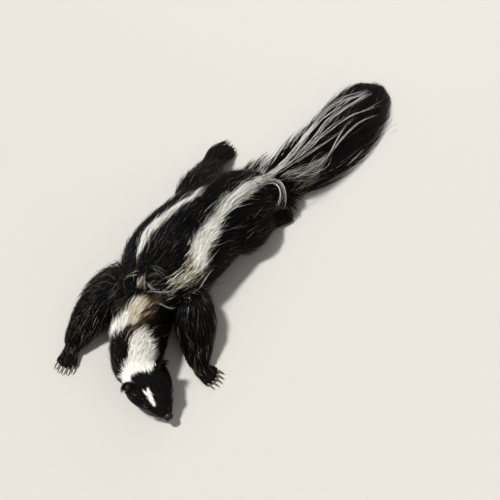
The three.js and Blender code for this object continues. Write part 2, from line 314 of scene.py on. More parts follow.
def makePiece(name, points, faces, material, tints=None, patches=None):
    # points in plan millimetres, three of them to a face; a tint and a place on the bake map for each point
    mesh = bpy.data.meshes.new(name)
    places = toFrame(points)
    count = len(faces)
    mesh.vertices.add(len(places))
    mesh.vertices.foreach_set("co", places.astype(np.float32).ravel())
    mesh.loops.add(count * 3)
    mesh.loops.foreach_set("vertex_index", faces.astype(np.int32).ravel())
    mesh.polygons.add(count)
    mesh.polygons.foreach_set("loop_start", np.arange(0, count * 3, 3, dtype=np.int32))
    mesh.update(calc_edges=True)
    mesh.shade_smooth()
    if tints is not None:
        layer = mesh.color_attributes.new(name="tint", type="FLOAT_COLOR", domain="POINT")
        opaque = np.ones((len(places), 4), np.float32)
        opaque[:, :3] = tints
        layer.data.foreach_set("color", opaque.ravel())
    if patches is not None:
        layer = mesh.uv_layers.new(name="OFBake")
        layer.uv.foreach_set("vector", patches[faces.ravel()].astype(np.float32).ravel())
    mesh.materials.append(materials[material])
    made = link(bpy.data.objects.new(name, mesh))
    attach(made, "root")
    return made


def curveThrough(points, at):
    # the smooth line through points, at places from 0 to 1; knots stand apart by the root of the distance
    points = np.asarray(points, float)
    ends = np.vstack([2 * points[0] - points[1], points, 2 * points[-1] - points[-2]])
    place = np.clip(np.asarray(at, float), 0, 1) * (len(points) - 1)
    start = np.minimum(place.astype(int), len(points) - 2)
    part = (place - start)[..., None]
    before, here, there, after = (ends[start + i] for i in range(4))

    def spacing(a, b):
        return np.maximum(np.sum((b - a) ** 2, axis=-1, keepdims=True) ** 0.25, 1e-3)

    first, middle, last = spacing(before, here), spacing(here, there), spacing(there, after)
    out = ((here - before) / first - (there - before) / (first + middle)) * middle + (there - here)
    into = ((after - there) / last - (after - here) / (middle + last)) * middle + (there - here)
    rise = there - here
    return here + out * part + (3 * rise - 2 * out - into) * part ** 2 + (out + into - 2 * rise) * part ** 3


def directionsAlong(line, at):
    step = 0.004
    at = np.asarray(at, float)
    ahead = unit(curveThrough(line, at + step) - curveThrough(line, at - step))
    left = unit(np.cross([0, 0, 1], ahead))
    return ahead, left, np.cross(ahead, left)


endTaper = 8  # the higher, the nearer to its ends a body starts to round off


def loftPoint(rings, along, turned, share=1.0, inset=0.0):
    # a point of the body through rings of (x, y, z, half-width, reach up, reach down); turned is 0 on top
    rings = np.asarray(rings, float)
    along = np.asarray(along, float)
    centre = curveThrough(rings[:, :3], along)
    reach = curveThrough(rings[:, 3:6], along) * np.asarray(share, float)[..., None]
    reach = np.maximum(reach - np.asarray(inset, float)[..., None], 0.5)
    _, left, above = directionsAlong(rings[:, :3], along)
    tall = np.where(np.cos(turned) > 0, reach[..., 1], reach[..., 2])
    taper = np.sqrt(np.maximum(0, 1 - (2 * along - 1) ** endTaper))
    across = (np.sin(turned) * reach[..., 0] * taper)[..., None]
    over = (np.cos(turned) * tall * taper)[..., None]
    return centre + left * across + above * over


def ballFaces(sides, rows):
    # triangles of a ball: a pole, rows of corners, a pole
    faces = []
    for side in range(sides):
        after = (side + 1) % sides
        faces.append((0, 1 + side, 1 + after))
        for row in range(rows - 1):
            low = 1 + row * sides
            high = low + sides
            faces.append((low + side, high + side, high + after))
            faces.append((low + side, high + after, low + after))
        last = 1 + (rows - 1) * sides
        faces.append((1 + rows * sides, last + after, last + side))
    return np.array(faces)


def ballOf(place, sides, rows):
    # place(along, turned) gives each point of a closed body
    along = (1 - np.cos(np.pi * np.arange(1, rows + 1) / (rows + 1))) / 2
    turned = 2 * np.pi * np.arange(sides) / sides
    body = place(np.repeat(along, sides), np.tile(turned, rows))
    ends = place(np.array([0.0, 1.0]), np.zeros(2))
    return np.vstack([ends[:1], body, ends[1:]]), ballFaces(sides, rows)


def loft(rings, sides, rows):
    # the seventh number of a ring is how far the body lies inside it
    rings = np.asarray(rings, float)

    def place(along, turned):
        return loftPoint(rings, along, turned, inset=curveThrough(rings[:, 6:7], along)[..., 0])

    return ballOf(place, sides, rows)


def egg(centre, half, turn=0.0, sides=24, rows=16):
    # half: half its length, breadth and height; turn: its length's direction on the floor
    def place(along, turned):
        height = 1 - 2 * along
        girth = np.sqrt(np.maximum(0, 1 - height ** 2))
        x, y, z = girth * np.cos(turned) * half[0], girth * np.sin(turned) * half[1], height * half[2]
        c, s = math.cos(turn), math.sin(turn)
        return np.column_stack([x * c - y * s, x * s + y * c, z]) + np.asarray(centre, float)

    return ballOf(place, sides, rows)


def joined(parts):
    points, faces, start = [], [], 0
    for partPoints, partFaces in parts:
        points.append(partPoints)
        faces.append(np.asarray(partFaces) + start)
        start += len(partPoints)
    return np.vstack(points), np.vstack(faces)


# Regions of the body. Each ring is x, y, z, half-width, reach up, reach down and the depth of the coat there.
# lie says which way the hair runs along the rings, droop how much it also falls to the sides, and comb how
# much it is swept to the animal's left. length and width are a tuft's, and room is the area that it has to
# itself, at the first ring and at the last.

def headRing(ahead, height, wide, up, down, coat):
    return (*onHead(ahead, 0, height), wide, up, down, coat)


forelegHair = {"lie": 1, "droop": 0.4, "length": (46, 15), "width": (1.15, 0.8), "room": (1.45, 0.8)}
thighHair = {"lie": 1, "droop": 0.4, "length": (50, 20), "width": (1.15, 0.9), "room": (1.45, 0.85)}
regions = {
    "trunk": {
        "rings": [
            (-92, -40, 28, 22, 20, 34, 8), (-58, -47, 33, 47, 36, 42, 13), (-12, -55, 36, 62, 44, 46, 15),
            (38, -60, 38, 67, 47, 49, 15), (88, -60, 38, 69, 48, 49, 15), (132, -54, 37, 64, 45, 48, 14),
            (172, -42, 35, 50, 38, 45, 12), (196, -30, 34, 34, 30, 42, 10),
        ],
        "lie": -1, "droop": 0.4, "comb": 0.22, "length": (44, 38), "width": (1.05, 1.0), "room": (1.5, 1.35),
    },
    "neck": {
        "rings": [
            (150, -50, 33, 45, 36, 42, 12), (184, -34, 36, 42, 35, 44, 11), (214, -13, 35, 38, 33, 42, 10),
            (238, 6, 34, 34, 31, 41, 9), (253, 28, 32, 29, 28, 38, 7),
        ],
        "lie": -1, "droop": 0.7, "comb": 0.75, "length": (34, 18), "width": (1.1, 0.9), "room": (1.25, 0.8),
    },
    "head": {
        "rings": [
            headRing(0, 33, 22, 23, 30, 6), headRing(13, 31, 28, 29, 34, 5.5),
            headRing(28, 28, 31, 31, 32, 4), headRing(42, 25, 28, 27, 27, 2.8),
            headRing(54, 22, 19, 21, 21, 2), headRing(66, 18, 11.5, 13.5, 14.5, 1.3),
            headRing(77, 15.5, 8.5, 8.5, 9, 0.9),
        ],
        "lie": -1, "droop": 0.4, "comb": 0.15, "length": (16, 3), "width": (0.95, 0.5), "room": (0.75, 0.3),
    },
    "tail": {
        "rings": [
            (-62, -42, 27, 17, 16, 18, 3), (-110, -40, 20, 12, 11, 12, 4), (-170, -29, 15, 10, 10, 10, 4),
            (-240, -24, 11, 8, 8, 8, 4), (-300, -27, 8, 6, 6, 6, 3),
        ],
        "lie": 1, "droop": 0, "length": (30, 30), "width": (1.4, 1.4), "room": (4, 4),
    },
    "foreleg_right": {
        "rings": [
            (146, -84, 36, 34, 32, 37, 12), (186, -90, 31, 33, 27, 32, 10), (224, -91, 23, 26, 20, 24, 7),
            (254, -88, 15, 18, 13, 16, 4), (274, -83, 10, 13, 8, 11, 2),
        ],
        **forelegHair,
    },
    "foreleg_left": {
        "rings": [
            (120, -8, 34, 32, 32, 35, 11), (144, 22, 28, 27, 26, 29, 9), (164, 43, 19, 22, 17, 20, 6),
            (179, 58, 13, 16, 11, 14, 3), (185, 68, 9, 12, 7, 10, 1.8),
        ],
        **forelegHair,
    },
    "thigh_right": {
        "rings": [
            (26, -106, 32, 22, 24, 33, 11), (-2, -108, 33, 29, 27, 34, 11), (-32, -116, 27, 28, 23, 28, 9),
            (-60, -129, 19, 21, 15, 20, 6), (-84, -138, 14, 15, 11, 15, 3),
        ],
        **thighHair,
    },
    "thigh_left": {
        "rings": [
            (24, -16, 30, 22, 24, 31, 11), (-4, -12, 32, 27, 26, 33, 10), (-30, -12, 26, 25, 22, 27, 8),
            (-48, -7, 15, 18, 12, 16, 4), (-58, -2, 9, 12, 7, 10, 2),
        ],
        **thighHair,
    },
}

# Where the sole's middle lies, which way the toes point, the sole's half-sizes, and a claw's length and half
# of its thickness.
foreclaw, hindclaw = (10, 1.55), (6, 1.3)
paws = {
    "forepaw_right": {"at": (281, -80, 8), "turn": 22, "long": 13, "wide": 11, "high": 9, "claw": foreclaw},
    "forepaw_left": {"at": (187, 74, 8), "turn": 98, "long": 13, "wide": 11, "high": 9, "claw": foreclaw},
    "hindfoot_right": {
        "at": (-98, -140, 10), "turn": 184, "long": 22, "wide": 12, "high": 11, "claw": hindclaw,
    },
    "hindfoot_left": {"at": (-64, 2, 8), "turn": 168, "long": 19, "wide": 10, "high": 9, "claw": hindclaw},
}
toes = {
    "count": 5, "radius": 3.1,
    "reach": 1.18, "arc": 0.35, "spread": 0.95,  # arc is how far the outer toes fall short of the middle one
    "darkAt": (1.25, 4), "darkFlat": 1.5, "darkReach": (14, 6),  # bare skin shows round this place
    "bareAt": (1.35, 3), "bareReach": 4,  # and no hair grows round this one
}


def pawSpot(paw, ahead, left, height):
    turn = math.radians(paw["turn"])
    x, y, _ = paw["at"]
    return (
        x + ahead * math.cos(turn) - left * math.sin(turn),
        y + ahead * math.sin(turn) + left * math.cos(turn),
        height,
    )


def toeLines(paw):
    # for each toe: how far it reaches from the sole's middle, and how far to the left it stands
    lines = []
    for i in range(toes["count"]):
        spread = i / (toes["count"] - 1) * 2 - 1
        reachOut = paw["long"] * (toes["reach"] - toes["arc"] * spread ** 2)
        lines.append((reachOut, spread * paw["wide"] * toes["spread"]))
    return lines


for pawName, paw in paws.items():
    wide, high, long = paw["wide"], paw["high"], paw["long"]
    regions[pawName] = {
        "rings": [
            (*pawSpot(paw, -0.95 * long, 0, high * 0.9), wide * 0.7, high * 0.7, high, 1.6),
            (*pawSpot(paw, -0.2 * long, 0, high * 0.8), wide, high * 0.95, high, 1.2),
            (*pawSpot(paw, 0.6 * long, 0, high * 0.6), wide * 1.05, high * 0.7, high, 0.8),
            (*pawSpot(paw, 1.3 * long, 0, high * 0.45), wide, high * 0.4, high, 0.6),
        ],
        "lie": 1, "droop": 0, "length": (8, 3.5), "width": (0.9, 0.55), "room": (1.1, 0.7),
    }


# Skin.

skinShape = {
    "voxel": 1.5, "smoothing": 3, "faceSmoothing": 3,
    "brow": (45, 12, 32), "browHalf": (11, 7.5, 8),
    "faceFrom": 36, "faceRound": ((55, 0, 20), 60),  # ahead of the back of the skull, and round this place
    "mouthRound": ((66, 0, 20), 42), "mouthFine": 4.5, "eyeFine": 9.5,  # the smallest faces are there
}


def toeBodies(paw):
    bodies = []
    size = toes["radius"]
    for reachOut, side in toeLines(paw):
        rings = [
            (*pawSpot(paw, paw["long"] * 0.2, side * 0.75, 5.4), size * 1.1, size * 1.2, 5, 0),
            (*pawSpot(paw, reachOut * 0.75, side * 0.98, 4.8), size, size * 1.15, 4.6, 0),
            (*pawSpot(paw, reachOut + 0.5, side * 1.05, 4.6), size * 0.95, size, 4.2, 0),
            (*pawSpot(paw, reachOut + 3, side * 1.08, 4.2), size * 0.8, size * 0.8, 3.5, 0),
        ]
        bodies.append(loft(rings, sides=16, rows=14))
    return bodies


def fleshParts():
    parts = [loft(regions[name]["rings"], sides=40, rows=40) for name in regions]
    ahead, out, height = skinShape["brow"]
    turn = math.radians(head["turn"])
    for side in (1, -1):
        parts.append(egg(onHead(ahead, side * out, height), skinShape["browHalf"], turn))
    for paw in paws.values():
        parts.extend(toeBodies(paw))
    return joined(parts)


def remeshed(points, faces, voxel):
    mesh = bpy.data.meshes.new("flesh")
    mesh.from_pydata((points / 1000).tolist(), [], faces.tolist())
    made = link(bpy.data.objects.new("flesh", mesh))
    remesh = made.modifiers.new("remesh", "REMESH")
    remesh.mode = "VOXEL"
    remesh.voxel_size = voxel / 1000
    depsgraph = bpy.context.evaluated_depsgraph_get()
    done = bpy.data.meshes.new_from_object(made.evaluated_get(depsgraph))
    bpy.data.objects.remove(made)
    return done


def meshPoints(mesh):
    places = np.empty(len(mesh.vertices) * 3, np.float32)
    mesh.vertices.foreach_get("co", places)
    return places.reshape(-1, 3).astype(float) * 1000


def relaxed(points, edges, rounds, keep=None):
    # moves each point towards the middle of its neighbours
    count = np.bincount(edges.ravel(), minlength=len(points))[:, None]
    for _ in range(rounds):
        total = np.zeros_like(points)
        np.add.at(total, edges[:, 0], points[edges[:, 1]])
        np.add.at(total, edges[:, 1], points[edges[:, 0]])
        moved = points + 0.5 * (total / np.maximum(count, 1) - points)
        points = moved if keep is None else np.where(keep[:, None], points, moved)
    return points


def meshEdges(mesh):
    edges = np.empty(len(mesh.edges) * 2, np.int32)
    mesh.edges.foreach_get("vertices", edges)
    return edges.reshape(-1, 2)


def smoothStep(low, high, value):
    part = np.clip((value - low) / (high - low), 0, 1)
    return part * part * (3 - 2 * part)


face = {
    "lidOut": 1.0, "openingLong": 4.3, "openingHigh": 2.7,
    "lidReach": (2.3, 1.25),  # in sizes of the opening: where the lid starts to rise, and where it is full
    "opening": (1.02, 0.8), "openingDeep": 4.5,  # in the same way, the edge of the opening and its depth
    # places along the head and degrees round it
    "mouth": [(0.71, 104), (0.8, 112), (0.88, 122), (0.95, 126), (0.986, 128)],
    "mouthFront": (0.994, 180), "mouthInset": 0.9, "mouthFade": 0.08, "mouthRound": ((70, 0, 14), 40),
    "mouthDepth": 1.5, "mouthHalf": 0.6, "lipOut": 0.9, "lipAway": 1.7, "lipHalf": 1.1,
}


def within(points, place, reach):
    # the points less than reach from a place on the head
    return np.linalg.norm(points - onHead(*place), axis=1) < reach


def eyeDirections(side):
    out = unit(onHead(0.35, side * 0.8, 0.5) - onHead(0, 0, 0))
    forward = onHead(1, side * -0.3, -0.35) - onHead(0, 0, 0)
    across = unit(np.cross(out, forward))
    return np.cross(across, out), across, out


def eyeCentre(side):
    ahead, out, height = head["eye"]
    return onHead(ahead, side * out, height)


def mouthLine():
    rings = regions["head"]["rings"]
    along = np.array([row[0] for row in face["mouth"]])
    turned = np.radians([row[1] for row in face["mouth"]])
    inset = curveThrough(np.array(rings)[:, 6:7], along)[:, 0]
    half = [loftPoint(rings, along, side * turned, inset=inset) for side in (1, -1)]
    frontAlong = np.array([face["mouthFront"][0]])
    frontTurned = np.radians([face["mouthFront"][1]])
    front = loftPoint(rings, frontAlong, frontTurned, inset=np.array([face["mouthInset"]]))
    return curveThrough(np.vstack([half[0], front, half[1][::-1]]), np.linspace(0, 1, 80))


def distanceToLine(points, line):
    # how far each point is from a line of many short pieces, and the nearest place along it, from 0 to 1
    start, step = line[:-1], np.diff(line, axis=0)
    away = points[:, None, :] - start[None]
    part = np.clip((away * step).sum(-1) / np.maximum((step ** 2).sum(-1), 1e-9), 0, 1)
    gaps = np.linalg.norm(away - part[..., None] * step, axis=-1)
    nearest = gaps.argmin(1)
    rows = np.arange(len(points))
    return gaps[rows, nearest], (nearest + part[rows, nearest]) / len(step)


def shapeFace(points, normals):
    # lids stand round each eye, and lips run along the closed mouth
    radius = head["eyeRadius"]
    for side in (1, -1):
        along, across, out = eyeDirections(side)
        away = points - eyeCentre(side)
        a, c, o = away @ along, away @ across, away @ out
        near = np.sqrt((a / face["openingLong"]) ** 2 + (c / face["openingHigh"]) ** 2)
        lidHeight = np.sqrt(np.maximum((radius + face["lidOut"]) ** 2 - a ** 2 - c ** 2, 0))
        lid = smoothStep(*face["lidReach"], near) * (o > -2)
        raised = o + (lidHeight - o) * lid
        sunk = np.where(near < 1, raised - face["openingDeep"] * smoothStep(*face["opening"], near), raised)
        points = points + (sunk - o)[:, None] * out
    close = within(points, *face["mouthRound"])
    gap, place = distanceToLine(points[close], mouthLine())
    fade = smoothStep(0, face["mouthFade"], place) * smoothStep(1, 1 - face["mouthFade"], place)
    groove = face["mouthDepth"] * np.exp(-(gap / face["mouthHalf"]) ** 2)
    lip = face["lipOut"] * np.exp(-((gap - face["lipAway"]) / face["lipHalf"]) ** 2)
    points[close] += normals[close] * ((lip - groove) * fade)[:, None]
    return points


def vertexNormals(points, triangles):
    first, second, third = (points[triangles[:, corner]] for corner in range(3))
    cross = np.cross(second - first, third - first)
    normals = np.zeros_like(points)
    for corner in range(3):
        np.add.at(normals, triangles[:, corner], cross)
    return unit(normals)


def splitFaces(mesh, wanted):
    # halves every edge whose two ends are both wanted(points)
    work = bmesh.new()
    work.from_mesh(mesh)
    places = toPlan(np.array([v.co for v in work.verts]))
    chosen = wanted(places)
    work.verts.ensure_lookup_table()
    edges = [e for e in work.edges if chosen[e.verts[0].index] and chosen[e.verts[1].index]]
    bmesh.ops.subdivide_edges(work, edges=edges, cuts=1, use_grid_fill=True)
    work.to_mesh(mesh)
    work.free()


def nearEyes(points, reach):
    return np.minimum(*[np.linalg.norm(points - eyeCentre(side), axis=1) for side in (1, -1)]) < reach


def eyeNearness(points):
    # 1 at the rim of the eye's opening, less inside it, more away from it
    nearest = np.full(len(points), 99.0)
    for side in (1, -1):
        along, across, out = eyeDirections(side)
        away = points - eyeCentre(side)
        near = np.hypot(away @ along / face["openingLong"], away @ across / face["openingHigh"])
        nearest = np.minimum(nearest, np.where(away @ out > 0, near, 99))
    return nearest


def makeSkin():
    points, faces = fleshParts()
    mesh = remeshed(points, faces, skinShape["voxel"])
    points = relaxed(meshPoints(mesh), meshEdges(mesh), skinShape["smoothing"])
    mesh.vertices.foreach_set("co", toFrame(points).astype(np.float32).ravel())
    line = mouthLine()

    def onFace(places):
        ahead = (places - onHead(skinShape["faceFrom"], 0, 0)) @ (onHead(1, 0, 0) - onHead(0, 0, 0))
        return (ahead > 0) & within(places, *skinShape["faceRound"])

    def onFeatures(places):
        close = within(places, *skinShape["mouthRound"])
        chosen = np.zeros(len(places), bool)
        chosen[close] = distanceToLine(places[close], line)[0] < skinShape["mouthFine"]
        return chosen | nearEyes(places, skinShape["eyeFine"])

    splitFaces(mesh, onFace)
    splitFaces(mesh, onFeatures)
    points = meshPoints(mesh) - planShift
    points = relaxed(points, meshEdges(mesh), skinShape["faceSmoothing"], ~onFace(points))
    mesh.calc_loop_triangles()
    triangles = np.empty(len(mesh.loop_triangles) * 3, np.int32)
    mesh.loop_triangles.foreach_get("vertices", triangles)
    triangles = triangles.reshape(-1, 3)
    points = shapeFace(points, vertexNormals(points, triangles))
    points[:, 2] = np.maximum(points[:, 2], 0)
    return points, triangles


skinPoints, skinTriangles = makeSkin()
skinNormals = vertexNormals(skinPoints, skinTriangles)
print("skin has", len(skinTriangles), "triangles")


# Where a point lies on the body: its nearest region, how far along and round it, and how the coat lies there.

stationCount = 30
stationAlong = np.linspace(0.01, 0.99, stationCount)


def stationsOf(region):
    rings = np.array(region["rings"], float)
    centre = curveThrough(rings[:, :3], stationAlong)
    sizes = curveThrough(rings[:, 3:7], stationAlong)
    ahead, left, above = directionsAlong(rings[:, :3], stationAlong)
    taper = np.sqrt(np.maximum(0.05, 1 - (2 * stationAlong - 1) ** endTaper))
    spacing = np.linalg.norm(np.diff(rings[:, :3], axis=0), axis=1).sum() / stationCount
    return centre, sizes[:, :3] * taper[:, None], sizes[:, 3], ahead, left, above, spacing


for region in regions.values():
    region["stations"] = stationsOf(region)
regionNames = list(regions)


nearestRegion = {
    "block": 20000,  # points worked out at a time
    "beyond": 0.35,  # how far past a station a point still counts as level with it, in half-widths
    "sharpness": 12,  # how suddenly the lie changes from one region to the next
}


def lieOfCoat(points):
    # for each point: its region, how far along and round it, which way the hair lies, and the coat's sizes
    # there, which are its depth and a tuft's length, width and room
    count = len(points)
    nearness = np.empty((count, len(regionNames)))
    lies = np.empty((count, len(regionNames), 3))
    sizes = np.empty((count, len(regionNames), 4))
    alongs = np.empty((count, len(regionNames)))
    turns = np.empty((count, len(regionNames)))
    for number, name in enumerate(regionNames):
        region = regions[name]
        centre, reach, coat, ahead, left, above, spacing = region["stations"]
        for start in range(0, count, nearestRegion["block"]):
            part = slice(start, start + nearestRegion["block"])
            away = points[part, None, :] - centre[None]
            across = (away * left).sum(-1) / reach[:, 0]
            over = (away * above).sum(-1)
            over = over / np.where(over > 0, reach[:, 1], reach[:, 2])
            beyond = (away * ahead).sum(-1) / (spacing + nearestRegion["beyond"] * reach[:, 0])
            apart = np.sqrt(across ** 2 + over ** 2 + beyond ** 2)
            best = apart.argmin(1)
            rows = np.arange(len(best))
            share = stationAlong[best]
            turned = np.arctan2(across[rows, best], over[rows, best])
            nearness[part, number] = apart[rows, best]
            alongs[part, number] = share
            turns[part, number] = turned
            down = left[best] * np.cos(turned)[:, None] - above[best] * np.sin(turned)[:, None]
            down *= np.sin(turned)[:, None]
            swept = region.get("comb", 0) * left[best]
            lies[part, number] = region["lie"] * ahead[best] + region["droop"] * down + swept
            sizes[part, number, 0] = coat[best]
            for column, key in enumerate(("length", "width", "room"), 1):
                first, last = region[key]
                sizes[part, number, column] = first + (last - first) * share
    weight = np.exp(-nearestRegion["sharpness"] * (nearness - nearness.min(1, keepdims=True)))
    weight /= weight.sum(1, keepdims=True)
    nearest = nearness.argmin(1)
    rows = np.arange(count)
    return {
        "region": nearest,
        "along": alongs[rows, nearest],
        "turned": turns[rows, nearest],
        "lie": (lies * weight[..., None]).sum(1),
        "sizes": (sizes * weight[..., None]).sum(1),
    }


skinLie = lieOfCoat(skinPoints)
print("coat laid out")


# Markings, on the plan. A stripe's rows are x, y and half-width; an outline is a closed line of x and y. soft
# is how wide the edge is, wander how far it strays, and above the height that the marking stays over. With
# follow, the hair lies along the stripe.

colours = {
    "black": "#090808",
    "brownBlack": "#15110e",
    "white": "#f6f3e9",
    "cream": "#ebe4cd",
    "tan": "#b79c74",
    "brown": "#55402c",
    "pink": "#a8806e",
    "greyBrown": "#7d7466",
}

marks = [
    {   # the nape cap, with its hollow front edge and its lobe on the right
        "outline": [
            (207, -6), (216, -11), (228, -11), (238, -3), (248, 5), (258, 7), (269, 12), (277, 21), (275, 28),
            (269, 29), (264, 27), (257, 30), (250, 37), (243, 41), (236, 38), (228, 31), (219, 24), (212, 17),
            (209, 9), (206, 2),
        ],
        "colour": "white", "cover": 1, "soft": 3, "wander": 1.5, "above": 24,
    },
    {   # the lobe over the right shoulder
        "stripe": [(233, -44, 7), (219, -34, 10), (206, -30, 11), (193, -32, 11), (184, -33, 9)],
        "colour": "cream", "cover": 0.93, "soft": 5, "wander": 2.5, "above": 20,
    },
    {
        "stripe": [(209, -30, 5), (194, -31, 8), (180, -31, 8)],
        "colour": "tan", "cover": 0.42, "soft": 8, "wander": 3, "above": 30,
    },
    {
        "stripe": [(227, -17, 3), (212, -14, 5), (196, -14, 6), (180, -18, 6), (168, -24, 5)],
        "colour": "brown", "cover": 0.82, "soft": 5, "wander": 3, "above": 30,
    },
    {
        "stripe": [(234, -44, 7), (222, -36, 9), (212, -35, 7)],
        "colour": "white", "cover": 0.9, "soft": 6, "wander": 2.5, "above": 20,
    },
    {   # the fork, thin and mixed with black
        "stripe": [(149, -17, 5), (135, -15, 8), (124, -13, 9), (112, -11, 10), (100, -11, 12)],
        "colour": "cream", "cover": 0.6, "soft": 9, "wander": 4, "above": 30,
    },
    {   # the broad left stripe, which runs on to the root of the tail
        "outline": [
            (105, -13), (99, -20), (95, -24), (89, -29), (84, -34), (75, -37), (65, -39), (48, -42),
            (29, -43), (8, -49), (-4, -52), (-30, -50), (-55, -48), (-78, -46), (-106, -46), (-106, -35),
            (-83, -33), (-48, -31), (-16, -31), (0, -32), (14, -33), (32, -27), (48, -20), (65, -15),
            (77, -10), (90, -4), (100, -4),
        ],
        "colour": "white", "cover": 1, "soft": 3, "wander": 1.6, "above": 22,
    },
    {   # no colour of its own: the hair at the upper edge of the left stripe lies along the edge
        "stripe": [
            (112, -10, 1), (105, -14, 1), (95, -25, 1), (84, -35, 1), (65, -40, 1), (48, -43, 1),
            (29, -44, 1), (8, -50, 1), (-4, -52, 1), (-30, -50, 1), (-55, -48, 1),
        ],
        "follow": True,
        "colour": "white", "cover": 0, "soft": 1, "wander": 0, "above": 30,
    },
    {
        # painted shade: a tan band along the lower edge of the left stripe, where shade falls beneath the
        # white hair's edge
        "stripe": [(90, -31, 2), (98, -23, 3.4), (106, -15, 3)],
        "colour": "tan", "cover": 0.6, "soft": 4, "wander": 1.5, "above": 30,
    },
    {   # the narrow right stripe
        "stripe": [
            (134, -82, 2.5), (122, -86, 4), (113, -91, 5), (103, -95, 5.5), (91, -95, 6), (79, -94, 6.5),
            (66, -93, 6), (52, -92, 4.2), (37, -90, 3.6), (20, -85, 3.2), (4, -87, 2.4),
        ],
        "follow": True,
        "colour": "white", "cover": 1, "soft": 1.6, "wander": 0.8, "above": 60,
    },
    {   # the blaze between the eyes
        "stripe": [(264, 53, 3.2), (265, 57, 2.5), (267, 62, 2.2), (268, 66, 1.6)],
        "colour": "white", "cover": 0.95, "soft": 1.6, "wander": 0.6, "above": 20,
    },
]


def signedDistance(plan, mark):
    # negative inside the mark
    if "stripe" in mark:
        rows = curveThrough(mark["stripe"], np.linspace(0, 1, 8 * len(mark["stripe"])))
        start, step = rows[:-1], np.diff(rows, axis=0)
        away = plan[:, None, :] - start[None, :, :2]
        part = np.clip((away * step[:, :2]).sum(-1) / (step[:, :2] ** 2).sum(-1), 0, 1)
        gaps = np.linalg.norm(away - part[..., None] * step[:, :2], axis=-1)
        return (gaps - start[:, 2] - part * step[:, 2]).min(1)
    line = np.array(mark["outline"], float)
    closed = np.vstack([line, line[:1]])
    gap = distanceToLine(plan, closed)[0]
    crossings = np.zeros(len(plan), int)
    for (x0, y0), (x1, y1) in zip(closed[:-1], closed[1:]):
        spans = (y0 > plan[:, 1]) != (y1 > plan[:, 1])
        at = x0 + (plan[:, 1] - y0) * (x1 - x0) / (y1 - y0 + 1e-12)
        crossings += spans & (plan[:, 0] < at)
    return np.where(crossings % 2 == 1, -gap, gap)


following = {"steps": 60, "reach": (14, 4)}  # the hair turns between these distances from a stripe


def followStripes(points, lies):
    # hair in a stripe with follow lies along it, towards the tail
    steps = following["steps"]
    for mark in marks:
        if "follow" in mark:
            line = curveThrough(mark["stripe"], np.linspace(0, 1, steps))[:, :2]
            place = distanceToLine(points[:, :2], line)[1]
            along = unit(np.diff(line, axis=0))[np.minimum((place * (steps - 1)).astype(int), steps - 2)]
            along = np.column_stack([along, np.zeros(len(along))])
            share = smoothStep(*following["reach"], signedDistance(points[:, :2], mark))[:, None]
            lies = lies + (along * np.linalg.norm(lies, axis=1, keepdims=True) - lies) * share
    return lies


def wandering(plan, seed):
    # a slow, smooth wobble between -1 and 1
    x, y = plan[:, 0], plan[:, 1]
    waves = np.sin(x * 0.21 + y * 0.13 + seed) + np.sin(y * 0.31 - x * 0.17 + 2 * seed)
    return (waves + np.sin((x + y) * 0.53 + 3 * seed)) / 3


def markedColours(points, chance=None):
    # the coat's colour, and how light it is; chance, from 0 to 1, gives each tuft one colour or another
    plan = points[:, :2]
    result = np.tile(linear(colours["black"]), (len(points), 1))
    light = np.zeros(len(points))
    for number, mark in enumerate(marks):
        gap = signedDistance(plan, mark) + wandering(plan, number) * mark["wander"]
        amount = np.clip(0.5 - gap / mark["soft"], 0, 1) * mark["cover"]
        amount *= smoothStep(mark["above"] - 8, mark["above"] + 4, points[:, 2])
        if chance is not None:
            amount = (amount > chance[:, number % chance.shape[1]]).astype(float)
        result += (linear(colours[mark["colour"]]) - result) * amount[:, None]
        if mark["colour"] != "brown":
            light = np.maximum(light, amount)
    return result, light


def pawTints(points, result):
    # bare toes are dull dark skin, and pinkish on the left hind foot
    for name, paw in paws.items():
        share, height = toes["darkAt"]
        away = (points - np.array(pawSpot(paw, paw["long"] * share, 0, height))) * (1, 1, toes["darkFlat"])
        amount = smoothStep(*toes["darkReach"], np.linalg.norm(away, axis=1))
        toe = linear(colours["pink" if name == "hindfoot_left" else "brownBlack"])
        result += (toe - result) * amount[:, None]
    return result


skinShade = 0.85  # as a share of the hair's brightness

skinLie["lie"] = followStripes(skinPoints, skinLie["lie"])
skinTints = pawTints(skinPoints, markedColours(skinPoints)[0] * skinShade)
hide = makePiece("hide", skinPoints, skinTriangles, "furredHide", skinTints)
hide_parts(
    "trunk", "neck", "head", "tail",
    *[name for name in regions if name not in ("trunk", "neck", "head", "tail")],
)
print("hide made")


# Coat.

fur = {
    "rise": 1.7, "rootSink": 0.7, "heightSpread": 0.12, "lengthSpread": 0.22, "widthSpread": 0.15,
    "lieSpread": 0.11, "roll": 0.35, "wave": 0.03, "waves": 4.5, "follow": 0.6,
    "clumpShare": 9, "clumpPull": 0.4, "clumpCurve": 1.5,
    "paleFrom": 0.3,  # tufts brighter than this are white hair
    # fine loose hairs among the tufts
    "fineWidth": 0.42, "fineLonger": 1.2, "fineSpread": 0.42, "fineLift": 0.3, "fineWave": 0.07,
    "underside": (-0.85, -0.35),  # the coat thins out where the skin faces down
    "shortAtEye": 0.3, "eyeShort": (1.3, 4),  # the share of its length at the lids, and where it has it all
}
hairKinds = {  # material, painted shade at the root and painted light at the tip of each blade, thickness as a share of the width
    "black": ("blackGuardHair", (0.62, 1.05), 0.42),
    "white": ("whiteGuardHair", (0.86, 1.04), 0.28),
}
tuftOutline = {"point": 0.9, "root": 0.62, "belly": 1.5}
tuftPatch = {"size": 0.003, "within": 0.996}  # on the bake map: one tuft's patch, and what all roots keep to
lowest = {"line": 0.4, "corner": 0.1}  # how far above the floor tufts stay
pieceLimit = 190000  # triangles in one piece

random = np.random.default_rng(4)
coat = []


